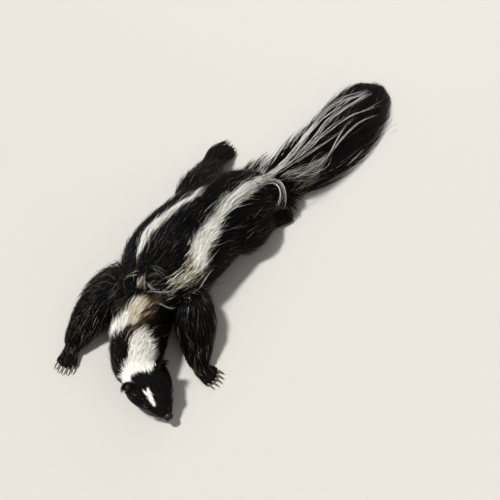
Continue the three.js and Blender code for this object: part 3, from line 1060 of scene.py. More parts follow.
def bladeFaces(stations):
    # triangles of one closed three-sided blade: a root face, its sides and a point
    faces = [(0, 2, 1)]
    for row in range(stations - 2):
        low = 3 * row
        for side in range(3):
            after = (side + 1) % 3
            faces.append((low + side, low + after, low + 3 + after))
            faces.append((low + side, low + 3 + after, low + 3 + side))
    last = 3 * (stations - 2)
    tip = 3 * (stations - 1)
    faces.extend((last + side, last + (side + 1) % 3, tip) for side in range(3))
    return np.array(faces)


def outline(stations):
    # how wide a blade is at each station but its point
    at = np.linspace(0, 1, stations)[:-1]
    return (1 - at) ** tuftOutline["point"] * (tuftOutline["root"] + tuftOutline["belly"] * at)


def bladesAlong(paths, ups, widths, thickness):
    # paths: blade, station, xyz; gives the corners of every blade, left, crest and right at each station
    ahead = unit(np.gradient(paths, axis=1))
    side = unit(np.cross(ahead, ups))
    above = np.cross(side, ahead)
    size = (widths[:, None] * outline(paths.shape[1]))[..., None]
    body, across = paths[:, :-1], side[:, :-1] * size / 2
    crest = body + above[:, :-1] * size * thickness
    corners = np.stack([body - across, crest, body + across], axis=2)
    return np.concatenate([corners.reshape(len(paths), -1, 3), paths[:, -1:]], axis=1)


def clumped(paths, share, pull):
    # draws the tips of neighbouring tufts together
    if len(paths) < 2 * share:
        return paths
    leaders = random.choice(len(paths), len(paths) // share, replace=False)
    tree = KDTree(len(leaders))
    for number, leader in enumerate(leaders):
        tree.insert(paths[leader, 0], number)
    tree.balance()
    leader = leaders[[tree.find(root)[1] for root in paths[:, 0]]]
    strength = pull * np.linspace(0, 1, paths.shape[1]) ** fur["clumpCurve"]
    return paths + (paths[leader] - paths) * strength[None, :, None]


def coatPieces(name, paths, ups, widths, tints, spots):
    # tints: one colour a tuft; spots: each root's place on the unwrap, from 0 to 1
    pale = tints.max(1) > fur["paleFrom"]
    for kind, chosen in (("black", ~pale), ("white", pale)):
        if chosen.any():
            parts = (part[chosen] for part in (paths, ups, widths, tints, spots))
            bladePieces(f"{name}_{kind}", *parts, kind)


def bladePieces(name, paths, ups, widths, tints, spots, kind):
    material, (rootPaintedShade, tipPaintedLight), thickness = hairKinds[kind]
    paths[..., 2] = np.maximum(paths[..., 2], lowest["line"])
    corners = bladesAlong(paths, ups, widths, thickness)
    corners[..., 2] = np.maximum(corners[..., 2], lowest["corner"])
    stations = paths.shape[1]
    template = bladeFaces(stations)
    along = np.append(np.repeat(np.arange(stations - 1), 3), stations - 1) / (stations - 1)
    across = np.append(np.tile([0, 0.5, 1], stations - 1), 0.5)
    # painted shade: each blade is darkened towards its root, where the hairs over it shade it, and lit a
    # little at its tip
    brightness = rootPaintedShade + (tipPaintedLight - rootPaintedShade) * along ** 0.7
    paintedShadeTints = tints[:, None, :] * brightness[None, :, None]
    patch = np.column_stack([across, along]) * tuftPatch["size"]
    patches = spots[:, None, :] * tuftPatch["within"] + patch[None]
    pieces = math.ceil(len(paths) / (pieceLimit // len(template)))
    for number, chosen in enumerate(np.array_split(np.arange(len(paths)), pieces)):
        starts = corners.shape[1] * np.arange(len(chosen))[:, None, None]
        made = makePiece(
            name if pieces == 1 else f"{name}_{number + 1}",
            corners[chosen].reshape(-1, 3),
            (template[None] + starts).reshape(-1, 3),
            material,
            paintedShadeTints[chosen].reshape(-1, 3),
            patches[chosen].reshape(-1, 2),
        )
        coat.append(made)
    print(name, "has", len(paths), "tufts in", pieces, "pieces")


def unwrapSpots(points, members):
    # each region is a strip of the unwrap: turned runs across the strip, along runs up it
    where = lieOfCoat(points)
    strip = np.zeros(len(points))
    for place, member in enumerate(members):
        strip[where["region"] == regionNames.index(member)] = place
    across = where["turned"] / (2 * np.pi) + 0.5
    return np.column_stack([(strip + across) / len(members), where["along"]]), where


hairColours = {  # how tufts differ in colour
    "edge": (0.12, 0.76),  # where in a marking's soft edge tufts start to take its colour, over what range
    "brownish": 0.12,  # the share of black tufts that are brown-black
    "paleVary": 0.06, "darkVary": 0.35, "warmth": 0.04, "brightest": 0.96,
}


def tintOf(points, bleachedAndGlint):
    # the colour of each tuft, with the small differences from hair to hair; the given ones are grey-brown,
    # partly as sun-bleached hair and partly as painted glints on the black coat
    count = len(points)
    first, reach = hairColours["edge"]
    base, light = markedColours(points, first + reach * random.random((count, 4)))
    brownish = random.random(count) < hairColours["brownish"]
    base[(light < 0.5) & brownish] = linear(colours["brownBlack"])
    # painted highlight: grey-brown tufts among the black stand partly for sun-bleached hair and partly for
    # glints of light along the coat
    base[(light < 0.5) & bleachedAndGlint] = linear(colours["greyBrown"])
    spread = np.where(light > 0.5, hairColours["paleVary"], hairColours["darkVary"])[:, None]
    vary = np.exp(random.normal(0, 1, (count, 1)) * spread)
    warm = 1 + random.normal(0, hairColours["warmth"], (count, 1)) * np.array([[0.6, 0, -0.9]])
    return np.clip(base * vary * warm, 0, hairColours["brightest"])


surface = {  # the skin, with the coat's depth and lie on each of its triangles
    "tree": BVHTree.FromPolygons(skinPoints.tolist(), skinTriangles.tolist()),
    "depth": skinLie["sizes"][skinTriangles].mean(1)[:, 0],
    "lie": skinLie["lie"][skinTriangles].mean(1),
}


def growOver(roots, normals, lies, lengths, stations):
    # follows the skin from each root; gives the line on the skin, the normals and the coat's depth along it
    places, ups = [roots], [normals]
    heading = unit(lies - normals * (lies * normals).sum(1, keepdims=True))
    step = (lengths / (stations - 1))[:, None]
    found = [surface["tree"].find_nearest(root) for root in roots.tolist()]
    depths = [surface["depth"][[hit[2] for hit in found]]]
    for _ in range(stations - 1):
        found = [surface["tree"].find_nearest(guess) for guess in (places[-1] + heading * step).tolist()]
        here = np.array([hit[0] for hit in found])
        up = np.array([hit[1] for hit in found])
        index = np.array([hit[2] for hit in found])
        wish = heading + fur["follow"] * unit(surface["lie"][index])
        heading = unit(wish - up * (wish * up).sum(1, keepdims=True))
        places.append(here)
        ups.append(up)
        depths.append(surface["depth"][index])
    return np.stack(places, 1), np.stack(ups, 1), np.stack(depths, 1)


def scatter(points, triangles, room, keep):
    # roots spread evenly over the triangles, one tuft to each room square millimetres
    first, second, third = (points[triangles[:, corner]] for corner in range(3))
    area = np.linalg.norm(np.cross(second - first, third - first), axis=1) / 2
    wanted = np.cumsum(area * keep / room)
    count = int(wanted[-1])
    picks = np.searchsorted(wanted, (np.arange(count) + random.random(count)) / count * wanted[-1])
    picks = np.minimum(picks, len(triangles) - 1)
    u, v = random.random(count), random.random(count)
    flip = u + v > 1
    u, v = np.where(flip, 1 - u, u)[:, None], np.where(flip, 1 - v, v)[:, None]
    return first[picks] + (second - first)[picks] * u + (third - first)[picks] * v, picks


# Coat pieces: the regions in each, the stations of a tuft, the share of fine loose hairs among the tufts, the
# share of those that are grey-brown (partly sun-bleached hair, partly painted glints on the black coat), the
# share of tufts that stand out, and how far they do, as a share of the coat's depth.
groups = {
    "trunk_coat": (["trunk"], 4, 0.12, 0.12, 0.08, 0.4),
    "neck_coat": (["neck"], 4, 0.12, 0.1, 0.1, 0.5),
    "head_coat": (["head"], 3, 0.05, 0.1, 0.04, 0.3),
    "foreleg_right_coat": (["foreleg_right"], 4, 0.14, 0.5, 0.25, 0.85),
    "foreleg_left_coat": (["foreleg_left"], 4, 0.12, 0.3, 0.25, 0.85),
    "thigh_right_coat": (["thigh_right"], 4, 0.12, 0.3, 0.28, 0.95),
    "thigh_left_coat": (["thigh_left"], 4, 0.12, 0.2, 0.28, 0.95),
    "paw_coat": (list(paws), 3, 0.03, 0.1, 0.12, 0.8),
}

bare = {"eye": 1.3, "tuftAtEye": 1.12, "nose": 74, "muzzle": ((66, 0, 20), 40), "mouth": 1.3, "floor": 0.6}


def bareParts(points):
    # no hair on the eyes and lids, the nose pad, the mouth's line, the toe tips or what lies on the floor
    ahead = (points - onHead(0, 0, 0)) @ unit(onHead(1, 0, 0) - onHead(0, 0, 0))
    close = within(points, *bare["muzzle"])
    gap = np.full(len(points), 99.0)
    gap[close] = distanceToLine(points[close], mouthLine())[0]
    hairless = (eyeNearness(points) < bare["eye"]) | (close & (ahead > bare["nose"])) | (gap < bare["mouth"])
    for paw in paws.values():
        share, height = toes["bareAt"]
        tip = np.array(pawSpot(paw, paw["long"] * share, 0, height))
        hairless |= np.linalg.norm(points - tip, axis=1) < toes["bareReach"]
    return hairless | (points[:, 2] < bare["floor"])


def tangled(paths, ups, amount):
    # a small sideways wave, different in each tuft
    amount = np.reshape(amount, (-1, 1))
    ahead = unit(paths[:, -1] - paths[:, 0])[:, None]
    side = unit(np.cross(ahead, ups))
    length = np.linalg.norm(paths[:, -1] - paths[:, 0], axis=1)[:, None]
    at = np.linspace(0, 1, paths.shape[1])[None]
    phase = random.random((len(paths), 1)) * 2 * np.pi
    wave = (np.sin(at * fur["waves"] + phase) - np.sin(phase)) * amount * length
    return paths + side * wave[..., None]


def rolled(paths, ups, spread):
    # turns each tuft's flat face a little about its own length
    ahead = unit(np.gradient(paths, axis=1))
    side = unit(np.cross(ahead, ups))
    angle = random.normal(0, spread, (len(paths), 1, 1))
    return ups * np.cos(angle) + side * np.sin(angle)


def growTufts(name, members, roots, normals, stations, fineShare, bleachedAndGlintShare, strayShare, strayLift):
    spots, where = unwrapSpots(roots, members)
    _, length, width, _ = where["sizes"].T
    count = len(roots)
    fine = random.random(count) < fineShare
    lengths = length * np.exp(random.normal(0, fur["lengthSpread"], count))
    shorter = fur["shortAtEye"] + (1 - fur["shortAtEye"]) * smoothStep(*fur["eyeShort"], eyeNearness(roots))
    lengths *= np.where(fine, fur["fineLonger"], 1) * shorter
    side = np.cross(normals, unit(where["lie"]))
    spread = np.where(fine, fur["fineSpread"], fur["lieSpread"])
    lie = unit(followStripes(roots, where["lie"])) + side * (random.normal(0, 1, count) * spread)[:, None]
    places, ups, depths = growOver(roots, normals, lie, lengths, stations)
    high = 1 - np.abs(random.normal(0, fur["heightSpread"], (count, 1)))
    high += (random.random((count, 1)) < strayShare) * random.random((count, 1)) * strayLift
    high += fine[:, None] * random.random((count, 1)) * fur["fineLift"]
    at = np.linspace(0, 1, stations)
    lift = depths * (1 - (1 - at) ** fur["rise"]) * high - fur["rootSink"] * (at == 0)
    paths = places + ups * lift[..., None]
    tints = tintOf(paths[:, stations // 2], fine & (random.random(count) < bleachedAndGlintShare))
    drawn = clumped(paths, fur["clumpShare"], fur["clumpPull"])
    paths = np.where(fine[:, None, None], paths, drawn)
    paths = tangled(paths, ups, np.where(fine, fur["fineWave"], fur["wave"]))
    clear = eyeNearness(paths[:, 1:].reshape(-1, 3)).reshape(count, -1).min(1) > bare["tuftAtEye"]
    widths = width * (1 + random.normal(0, fur["widthSpread"], count)) * np.where(fine, fur["fineWidth"], 1)
    ups = rolled(paths, ups, fur["roll"])
    coatPieces(name, paths[clear], ups[clear], widths[clear], tints[clear], spots[clear])


def makeCoat():
    middle = skinPoints[skinTriangles].mean(1)
    normal = unit(skinNormals[skinTriangles].sum(1))
    nearest = skinLie["region"][skinTriangles[:, 0]]
    *_, room = skinLie["sizes"][skinTriangles].mean(1).T
    keep = np.where(bareParts(middle), 0, smoothStep(*fur["underside"], normal[:, 2]))
    keep[nearest == regionNames.index("tail")] = 0
    for name, (members, *looks) in groups.items():
        mine = np.isin(nearest, [regionNames.index(member) for member in members])
        roots, picks = scatter(skinPoints, skinTriangles[mine], room[mine], keep[mine])
        growTufts(name, members, roots, normal[mine][picks], *looks)


makeCoat()


# Tail plume. Strands leave the thin core and run out to the plume's surface; the loose ones run past it.

plume = {
    "rings": [
        (-72, -42, 26, 18, 18, 26), (-110, -38, 20, 38, 23, 25), (-170, -26, 15, 47, 24, 22),
        (-240, -22, 13, 50, 22, 19), (-314, -29, 10, 47, 17, 14), (-364, -38, 7, 33, 12, 10),
        (-376, -44, 5, 12, 6, 6),
    ],
    "strands": 8000, "stations": 6, "run": 0.36, "runSpread": 0.07, "lastRoot": 0.68, "end": 0.985,
    "rootShare": 0.12, "rise": 1.5, "width": 1.35, "widthSpread": 0.2, "drift": 0.16, "driftSpread": 0.12,
    "inner": 0.75, "innerCurve": 2.2,  # how far inside the surface strands end, and how few do
    "clumpShare": 16, "clumpPull": 0.4, "wave": 0.018, "paleChance": 0.01,
    "loose": 0.2, "looseReach": 0.2, "looseCurve": 1.5, "looseDrift": 0.2, "looseMost": 0.4, "looseWave": 2.5,
}


def makePlume():
    count, stations = plume["strands"], plume["stations"]
    column = (count, 1)
    at = np.linspace(0, 1, stations)[None]
    start = plume["lastRoot"] * random.random(column)
    run = np.minimum(plume["run"] + random.normal(0, plume["runSpread"], column), plume["end"] - start)
    turned = random.random(column) * 2 * np.pi - np.pi
    drift = plume["drift"] * np.sin(turned) + random.normal(0, plume["driftSpread"], column)
    reach = 1 - plume["inner"] * random.random(column) ** plume["innerCurve"]
    loose = random.random(column) < plume["loose"]
    reach = np.where(loose, 1 + plume["looseReach"] * random.random(column) ** plume["looseCurve"], reach)
    astray = random.normal(0, plume["looseDrift"], column)
    drift += loose * np.clip(astray, -plume["looseMost"], plume["looseMost"])
    share = plume["rootShare"] + (reach - plume["rootShare"]) * (1 - (1 - at) ** plume["rise"])
    along = start + run * at
    paths = loftPoint(plume["rings"], along, turned + drift * at, share=share)
    centre = curveThrough(np.array(plume["rings"])[:, :3], along)
    ups = unit(unit(paths - centre) + np.array([0, 0, 0.6]))  # turned up a little, so that the crests show
    paths = clumped(paths, plume["clumpShare"], plume["clumpPull"])
    paths = tangled(paths, ups, np.where(loose, plume["looseWave"], 1) * plume["wave"])
    below = paths[:, 1] * (1, 1, 0)  # low enough for no mark to reach it
    tints = tintOf(below, random.random(count) < plume["paleChance"])
    widths = plume["width"] * (1 + random.normal(0, plume["widthSpread"], count))
    spots = np.column_stack([(turned[:, 0] + np.pi) / (2 * np.pi), start[:, 0]])
    coatPieces("tail_plume", paths, rolled(paths, ups, fur["roll"]), widths, tints, spots)


makePlume()


# Bundles: hair that the photograph shows one tress at a time. A tress is a line of points, how many strands
# it has, how far they stand from the line on its way from root to tip, their width, the share of the line
# that one strand covers, their colour and, where it isn't the usual one, their wave. A line below the top of
# the coat is lifted to it.

bundles = {
    "right_stripe": [
        ([(137, -80, 77), (122, -86, 78), (113, -91, 76), (103, -95, 75), (91, -95, 77), (79, -94, 77),
          (66, -93, 78), (52, -92, 78), (37, -90, 78), (20, -85, 78), (6, -87, 76), (-6, -88, 74)],
         260, (1.6, 3.4, 4.4, 5, 5.3, 5.8, 5.2, 3.8, 3.2, 2.8, 2, 1), 0.7, 0.22, "white"),
        ([(134, -82, 78), (119, -91, 76), (75, -141, 1), (60, -150, 1)], 3, (1, 0.6), 0.45, 0.7, "cream"),
    ],
    "tail_tress": [
        ([(0, -43, 72), (-28, -42, 68), (-49, -42, 61), (-68, -40, 55), (-89, -40, 51), (-109, -39, 48),
          (-131, -39, 46), (-156, -41, 43), (-182, -46, 40), (-200, -50, 38), (-217, -52, 36),
          (-240, -56, 32)],
         180, (6, 7, 5.6, 4.4, 3.6, 3.2, 2.8, 2.5, 2.2, 1.8, 1.5, 1.3), 0.55, 0.24, "white", 0.02),
        # painted shade: grey-brown and brown-black strands laid along the white band, dark where shade falls
        # between its hairs
        ([(0, -42, 72), (-28, -41, 68), (-49, -41, 61), (-68, -39, 55), (-89, -39, 51), (-109, -38, 48),
          (-131, -38, 46), (-156, -41, 44), (-182, -46, 41), (-200, -50, 39), (-217, -52, 37)],
         34, (5, 6, 5, 4.2, 3.6, 3.2, 3, 3, 3, 3, 3), 0.45, 0.22, "greyBrown", 0.03),
        ([(-28, -41, 69), (-49, -41, 62), (-68, -39, 56), (-89, -39, 52), (-109, -38, 49), (-131, -38, 47),
          (-156, -41, 45), (-182, -46, 42)],
         30, (6, 6, 5, 4.5, 4, 3.6, 3.4, 3.2), 0.5, 0.24, "brownBlack", 0.03),
        ([(-70, -38, 55), (-95, -37, 50), (-123, -33, 46), (-160, -34, 43), (-190, -38, 40)],
         10, (2, 3, 3.4, 3, 2), 0.4, 0.4, "cream", 0.03),
        ([(-182, -47, 40), (-222, -53, 34), (-252, -58, 31), (-281, -56, 29), (-306, -49, 28),
          (-336, -35, 25), (-352, -30, 22)], 18, (1.5, 4, 6, 6, 4.6, 2.6, 1.4), 0.46, 0.42, "white", 0.03),
        ([(-123, -34, 46), (-160, -35, 43), (-203, -36, 40), (-239, -40, 37), (-274, -38, 33),
          (-308, -33, 30), (-339, -28, 25), (-354, -24, 21)],
         15, (0.8, 1.2, 1.6, 2, 2.2, 1.8, 1.2, 0.6), 0.5, 0.42, "white", 0.014),
        ([(-146, -33, 44), (-170, -26, 42), (-203, -27, 40), (-240, -25, 38), (-273, -22, 34),
          (-303, -13, 29), (-334, -7, 23), (-350, -7, 18)], 5, (0.5, 0.5), 0.5, 0.5, "white", 0.008),
        ([(-262, -24, 35), (-282, -20, 33), (-301, -12, 29), (-323, -5, 25), (-344, 2, 16)],
         3, (0.45, 0.45), 0.5, 0.7, "white", 0.008),
        ([(-113, -32, 46), (-149, -25, 44), (-185, -20, 41), (-214, -15, 39), (-255, -10, 36),
          (-285, -12, 32)], 4, (0.5, 0.7), 0.5, 0.5, "white", 0.008),
        ([(-160, 1, 38), (-182, 2, 38), (-207, -1, 38), (-241, -4, 36), (-277, -3, 31), (-307, 6, 25),
          (-322, 10, 20), (-338, 10, 12)], 5, (1, 0.4), 0.5, 0.5, "white", 0.008),
        ([(-177, 2, 38), (-215, -6, 38), (-254, -14, 35), (-287, -15, 32)],
         3, (0.4, 0.4), 0.5, 0.6, "white", 0.008),
        ([(-163, -53, 38), (-193, -59, 34), (-212, -61, 31)], 3, (0.8, 1), 0.5, 0.7, "white"),
        ([(-198, -48, 38), (-240, -50, 34), (-274, -47, 31), (-307, -44, 29), (-325, -40, 26)],
         7, (2, 3.4), 0.45, 0.45, "white"),
        ([(-102, -28, 45), (-120, -16, 42), (-140, -5, 39), (-165, 0, 39), (-192, 2, 38)],
         44, (5, 12, 15, 13, 9), 0.3, 0.4, "greyBrown", 0.08),
        ([(-106, -27, 45), (-122, -14, 42), (-144, -4, 39), (-170, 1, 38), (-194, 1, 38)],
         30, (4, 9, 12, 11, 8), 0.3, 0.4, "white", 0.08),
        ([(-102, -5, 33), (-125, 3, 33), (-150, 8, 32), (-175, 6, 36)],
         24, (6, 11, 12, 9), 0.32, 0.45, "greyBrown", 0.09),
        ([(-110, -38, 47), (-150, -36, 44), (-195, -38, 40), (-240, -42, 36), (-290, -42, 31)],
         13, (3, 8, 13, 17, 17), 0.42, 0.4, "white", 0.04),
        ([(-200, -30, 40), (-240, -25, 38), (-280, -22, 34), (-320, -20, 28)],
         12, (8, 15, 17, 14), 0.3, 0.45, "greyBrown", 0.05),
        ([(-206, 26, 19), (-227, 28, 18), (-250, 28, 17)], 2, (0.8, 0.6), 0.45, 0.8, "cream"),
        ([(-308, 31, 10), (-320, 34, 10), (-330, 36, 10)], 2, (0.8, 0.6), 0.45, 0.8, "greyBrown"),
    ],
    "tail_curl": [
        ([(-51, -34, 70), (-67, -32, 62), (-81, -27, 54), (-86, -21, 52), (-85, -14, 50), (-81, -8, 46),
          (-75, -4, 43), (-66, 0, 40), (-58, 2, 37)],
         6, (2.4, 1.8, 1.2, 0.9, 0.7, 0.7), 0.45, 0.6, "white", 0.03),
        ([(-56, -35, 69), (-79, -34, 56), (-88, -26, 54), (-91, -20, 52), (-90, -14, 50), (-85, -6, 46),
          (-78, 0, 43), (-70, 5, 40), (-62, 7, 37), (-54, 6, 34)],
         7, (2.4, 1.8, 1.2, 0.8, 0.7, 0.8), 0.45, 0.6, "white", 0.03),
        ([(-58, -32, 67), (-80, -31, 55), (-88, -23, 53), (-89, -14, 50), (-83, -6, 46), (-75, 0, 43),
          (-65, 4, 40)], 4, (2, 2, 1.6), 0.36, 0.5, "greyBrown", 0.05),
    ],
    "fork_wisp": [
        ([(172, -79, 61), (170, -76, 65), (166, -71, 71), (161, -66, 75), (156, -60, 78), (151, -54, 80)],
         7, (1.8, 1.6), 0.32, 0.55, "cream", 0.07),
        ([(175, -79, 61), (168, -76, 66), (162, -70, 73), (156, -64, 77), (152, -58, 80)],
         5, (3.4, 2.6), 0.3, 0.55, "greyBrown", 0.08),
        ([(152, -54, 79), (158, -50, 78), (165, -47, 76), (174, -43, 73)],
         13, (3.6, 3), 0.32, 0.7, "tan", 0.07),
        ([(158, -55, 78), (165, -51, 76), (173, -46, 73)], 9, (3, 2.4), 0.32, 0.7, "cream", 0.07),
        ([(162, -56, 77), (169, -53, 74), (175, -46, 72)], 3, (1.5, 1), 0.34, 0.7, "white", 0.06),
        ([(159, -46, 78), (165, -43, 76), (172, -40, 73)], 3, (1.4, 1), 0.34, 0.7, "cream", 0.06),
        ([(141, -57, 82), (141, -48, 82), (142, -39, 80), (143, -32, 77)],
         3, (2.2, 2.2), 0.34, 0.8, "greyBrown", 0.06),
        ([(141, -51, 82), (139, -44, 81), (138, -33, 78), (137, -28, 76)],
         6, (3.8, 3.8), 0.34, 0.7, "greyBrown", 0.06),
        ([(161, -45, 77), (161, -39, 76), (161, -31, 73), (160, -26, 71)],
         3, (1.5, 1.5), 0.34, 0.8, "cream", 0.06),
        ([(163, -37, 75), (156, -35, 76), (147, -31, 76), (140, -26, 75)],
         8, (4.5, 5.2), 0.34, 0.6, "greyBrown", 0.06),
        ([(155, -48, 78), (149, -42, 79), (145, -36, 78), (142, -27, 75)],
         10, (6, 6), 0.34, 0.5, "greyBrown", 0.06),
        ([(173, -35, 72), (163, -29, 72), (157, -23, 70), (150, -20, 68), (145, -17, 66), (140, -13, 62)],
         6, (1.5, 1.2), 0.34, 0.6, "cream", 0.06),
        ([(183, -20, 69), (173, -18, 67), (168, -13, 64), (164, -8, 60), (159, -1, 56), (152, 3, 52)],
         6, (1.5, 1), 0.34, 0.6, "cream", 0.06),
        ([(201, -17, 70), (194, -15, 69), (188, -14, 68), (180, -13, 64)],
         13, (2.7, 1.8), 0.34, 0.7, "tan", 0.06),
        ([(127, 7, 57), (116, 8, 58), (101, 7, 59), (88, 5, 60), (81, 4, 60)],
         2, (0.8, 0.6), 0.32, 0.7, "cream", 0.03),
        ([(129, -1, 61), (122, 1, 61), (114, 3, 61), (104, 3, 61)],
         2, (0.8, 0.6), 0.3, 0.7, "greyBrown", 0.03),
        ([(174, -28, 71), (168, -22, 67), (160, -18, 64), (153, -14, 60)],
         30, (7.5, 7.5), 0.34, 0.5, "brown", 0.06),
        ([(189, -105, 53), (183, -104, 55), (176, -103, 57), (170, -101, 58)],
         10, (3.3, 4.5), 0.34, 0.6, "greyBrown", 0.06),
        ([(210, -61, 60), (200, -57, 64), (190, -53, 68), (183, -49, 71)],
         6, (3.8, 3.8), 0.34, 0.6, "brown", 0.06),
        ([(215, -53, 58), (204, -49, 64), (193, -46, 69)], 10, (3, 3), 0.34, 0.6, "greyBrown", 0.06),
        ([(204, -78, 49), (195, -77, 52), (186, -75, 56), (178, -72, 62)],
         17, (7.5, 10), 0.34, 0.5, "greyBrown", 0.06),
    ],
    "foot_hair": [
        ([(-44, -124, 36), (-72, -140, 28), (-98, -151, 18), (-126, -156, 6)],
         200, (9, 5), 0.8, 0.5, "black"),
        ([(-60, -128, 28), (-86, -140, 22), (-112, -150, 14), (-138, -152, 4)],
         240, (9, 5), 0.8, 0.5, "black"),
        ([(-44, -110, 34), (-70, -122, 24), (-96, -128, 14), (-124, -135, 4)],
         200, (9, 5), 0.8, 0.5, "black"),
    ],
    "rump_hair": [
        ([(-48, -66, 58), (-74, -72, 44), (-100, -80, 30), (-128, -86, 14)],
         80, (10, 12), 0.7, 0.5, "black"),
        ([(-62, -58, 52), (-92, -64, 40), (-122, -72, 28), (-152, -78, 14)],
         90, (10, 12), 0.7, 0.5, "black"),
        ([(-56, -34, 48), (-74, -20, 40), (-88, -2, 24), (-96, 16, 6)], 300, (14, 13), 0.9, 0.5, "black"),
        ([(-70, -32, 46), (-86, -22, 38), (-102, -6, 26), (-118, 12, 8)], 300, (12, 13), 0.9, 0.5, "black"),
    ],
}
strand = {
    "stations": 7, "wave": 0.018, "coverSpread": 0.12, "widthSpread": 0.15,
    "shade": (-0.12, 0.28), "brightest": 0.95,
    "flat": 0.4,  # how high a bundle stands, as a share of its width
    "atRoot": 12,  # one strand in this many starts at the line's first point
    "rootSink": 2.5,  # the roots lie below the hair around them
    "lift": 0.6, "from": 200,  # clear of the coat, and a height above it all
    "steepest": 0.4,  # the share of its depth that the coat keeps on a steep side
}


def settled(line):
    # lifts a line of points to the top of the coat, where it lies below it
    lifted = []
    for x, y, z in line:
        hit, normal, index, _ = surface["tree"].ray_cast(Vector((x, y, strand["from"])), Vector((0, 0, -1)))
        if hit is not None:
            depth = surface["depth"][index] * max(normal.z, strand["steepest"])
            z = max(z, hit.z + depth + strand["lift"])
        lifted.append((x, y, z))
    return lifted


def strandsOf(line, count, spread, width, cover, colour, wave=strand["wave"]):
    cover = cover * (1 + random.normal(0, strand["coverSpread"], (count, 1)))
    start = random.random((count, 1)) * np.maximum(1 - cover, 0)
    start[: max(count // strand["atRoot"], 1)] = 0
    at = start + cover * np.linspace(0, 1, strand["stations"])[None]
    middle = curveThrough(settled(line), at)
    ahead = unit(np.gradient(middle, axis=1))
    side = unit(np.cross(ahead, [0, 0, 1]))
    above = np.cross(side, ahead)
    wide = np.interp(at, np.linspace(0, 1, len(spread)), spread)
    angle = random.random((count, 1)) * 2 * np.pi
    radius = np.sqrt(random.random((count, 1)))
    out = (np.cos(angle) * radius * wide)[..., None]
    over = (np.abs(np.sin(angle)) * radius * wide * strand["flat"])[..., None]
    paths = tangled(middle + side * out + above * over, above, wave)
    paths[:, 0] -= strand["rootSink"] * above[:, 0]
    widths = width * (1 + random.normal(0, strand["widthSpread"], count))
    tints = linear(colours[colour]) * np.exp(random.normal(*strand["shade"], (count, 1)))
    return paths, rolled(paths, above, fur["roll"]), widths, np.clip(tints, 0, strand["brightest"])


for bundleName, tresses in bundles.items():
    parts = [np.concatenate(part) for part in zip(*[strandsOf(*tress) for tress in tresses])]
    coatPieces(bundleName, *parts, unwrapSpots(parts[0][:, 0], regionNames)[0])
print("coat has", sum(len(made.data.polygons) for made in coat), "triangles")


# Eyes, nose, ears, claws and whiskers.

eyes = {"cornea": (0.72, 0.95), "proud": 0.06}


def makeEyes():
    radius = head["eyeRadius"]
    for side, name in ((1, "left"), (-1, "right")):
        _, _, out = eyeDirections(side)
        points, faces = egg((0, 0, 0), (radius, radius, radius), sides=40, rows=30)
        bulge = smoothStep(*eyes["cornea"], unit(points) @ out)  # the cornea stands a little proud
        points = points * (1 + eyes["proud"] * bulge)[:, None] + eyeCentre(side)
        made = makePiece(f"eyeball_{name}", points, faces, "wetEye")
        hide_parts(f"eye_{name}")


nose = {
    "centre": (76, 0, 17), "half": (5.6, 6.1, 5.1), "nostrilOut": 3.3, "nostrilUp": 0.5,
    "slit": (1.7, 1.15), "slitLean": 0.35, "slitDeep": 3.2,
    "wing": (1.6, 0.55), "wingOut": 1.6, "wingUp": 1.1, "wingDeep": 1.2,  # the slit's thin outer end
    "rimOut": 0.45, "rimAt": 1.35, "rimHalf": 0.25,
    "grooveDeep": 0.8, "grooveHalf": 0.35,  # from between the nostrils down to the lip
}


def makeNose():
    turn = math.radians(head["turn"])
    points, faces = egg((0, 0, 0), nose["half"], 0, sides=72, rows=60)
    ahead, left, up = points.T
    front = smoothStep(0, 3, ahead)
    for side in (1, -1):
        across = left - side * nose["nostrilOut"]
        over = up - nose["nostrilUp"]
        wide, high = nose["slit"]
        slit = np.sqrt((across / wide) ** 2 + ((over + nose["slitLean"] * side * across) / high) ** 2)
        wide, high = nose["wing"]
        beside = across - side * nose["wingOut"]
        wing = np.sqrt((beside / wide) ** 2 + ((over - nose["wingUp"]) / high) ** 2)
        sunk = nose["slitDeep"] * smoothStep(1.15, 0.35, slit) + nose["wingDeep"] * smoothStep(1.1, 0.4, wing)
        rim = nose["rimOut"] * np.exp(-((slit - nose["rimAt"]) / nose["rimHalf"]) ** 2)
        ahead = ahead - front * (sunk - rim)
    groove = nose["grooveDeep"] * np.exp(-(left / nose["grooveHalf"]) ** 2)
    ahead = ahead - front * groove * smoothStep(1.5, -1.5, up)
    c, s = math.cos(turn), math.sin(turn)
    placed = np.column_stack([ahead * c - left * s, ahead * s + left * c, up]) + onHead(*nose["centre"])
    made = makePiece("nose_pad", placed, faces, "noseLeather")
    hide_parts("nose")


ears = {
    "root": (27, 24, 45), "lean": 0.6, "tilt": 0.18, "sides": 40, "rows": 14,
    "halfWidth": 9, "height": 10, "bowl": 0.8, "depth": 5.5, "hollow": 2.2, "flare": 1.6, "thick": 1.1,
    "tufts": 520, "hair": 6.5, "hairWidth": 0.7, "hairRoll": 0.4, "inside": 0.14,
}


def earFacing(side):
    # which way the cup opens, and which way is left across it
    lean = math.radians(head["turn"]) + side * ears["lean"]
    c, s = math.cos(lean), math.sin(lean)
    return np.array([c, s, ears["tilt"]]), np.array([-s, c, 0])


def earPoint(side, angle, share, back):
    # angle runs round the rim, share from the bottom of the cup to the rim, back is 1 outside and 0 inside
    ahead, out, height = ears["root"]
    facing, leftward = earFacing(side)
    bowl = share ** ears["bowl"]
    across = np.cos(angle) * ears["halfWidth"] * bowl
    rise = np.sin(angle) * ears["height"] * bowl
    deep = -ears["depth"] * (1 - share ** ears["hollow"]) + ears["flare"] * share ** 6 * np.cos(angle) ** 2
    deep = deep - back * ears["thick"] * (1 - 0.6 * share ** 8)
    over = leftward * across[:, None] + facing * deep[:, None] + np.array([0, 0, 1.0]) * rise[:, None]
    return onHead(ahead, side * out, height) + over


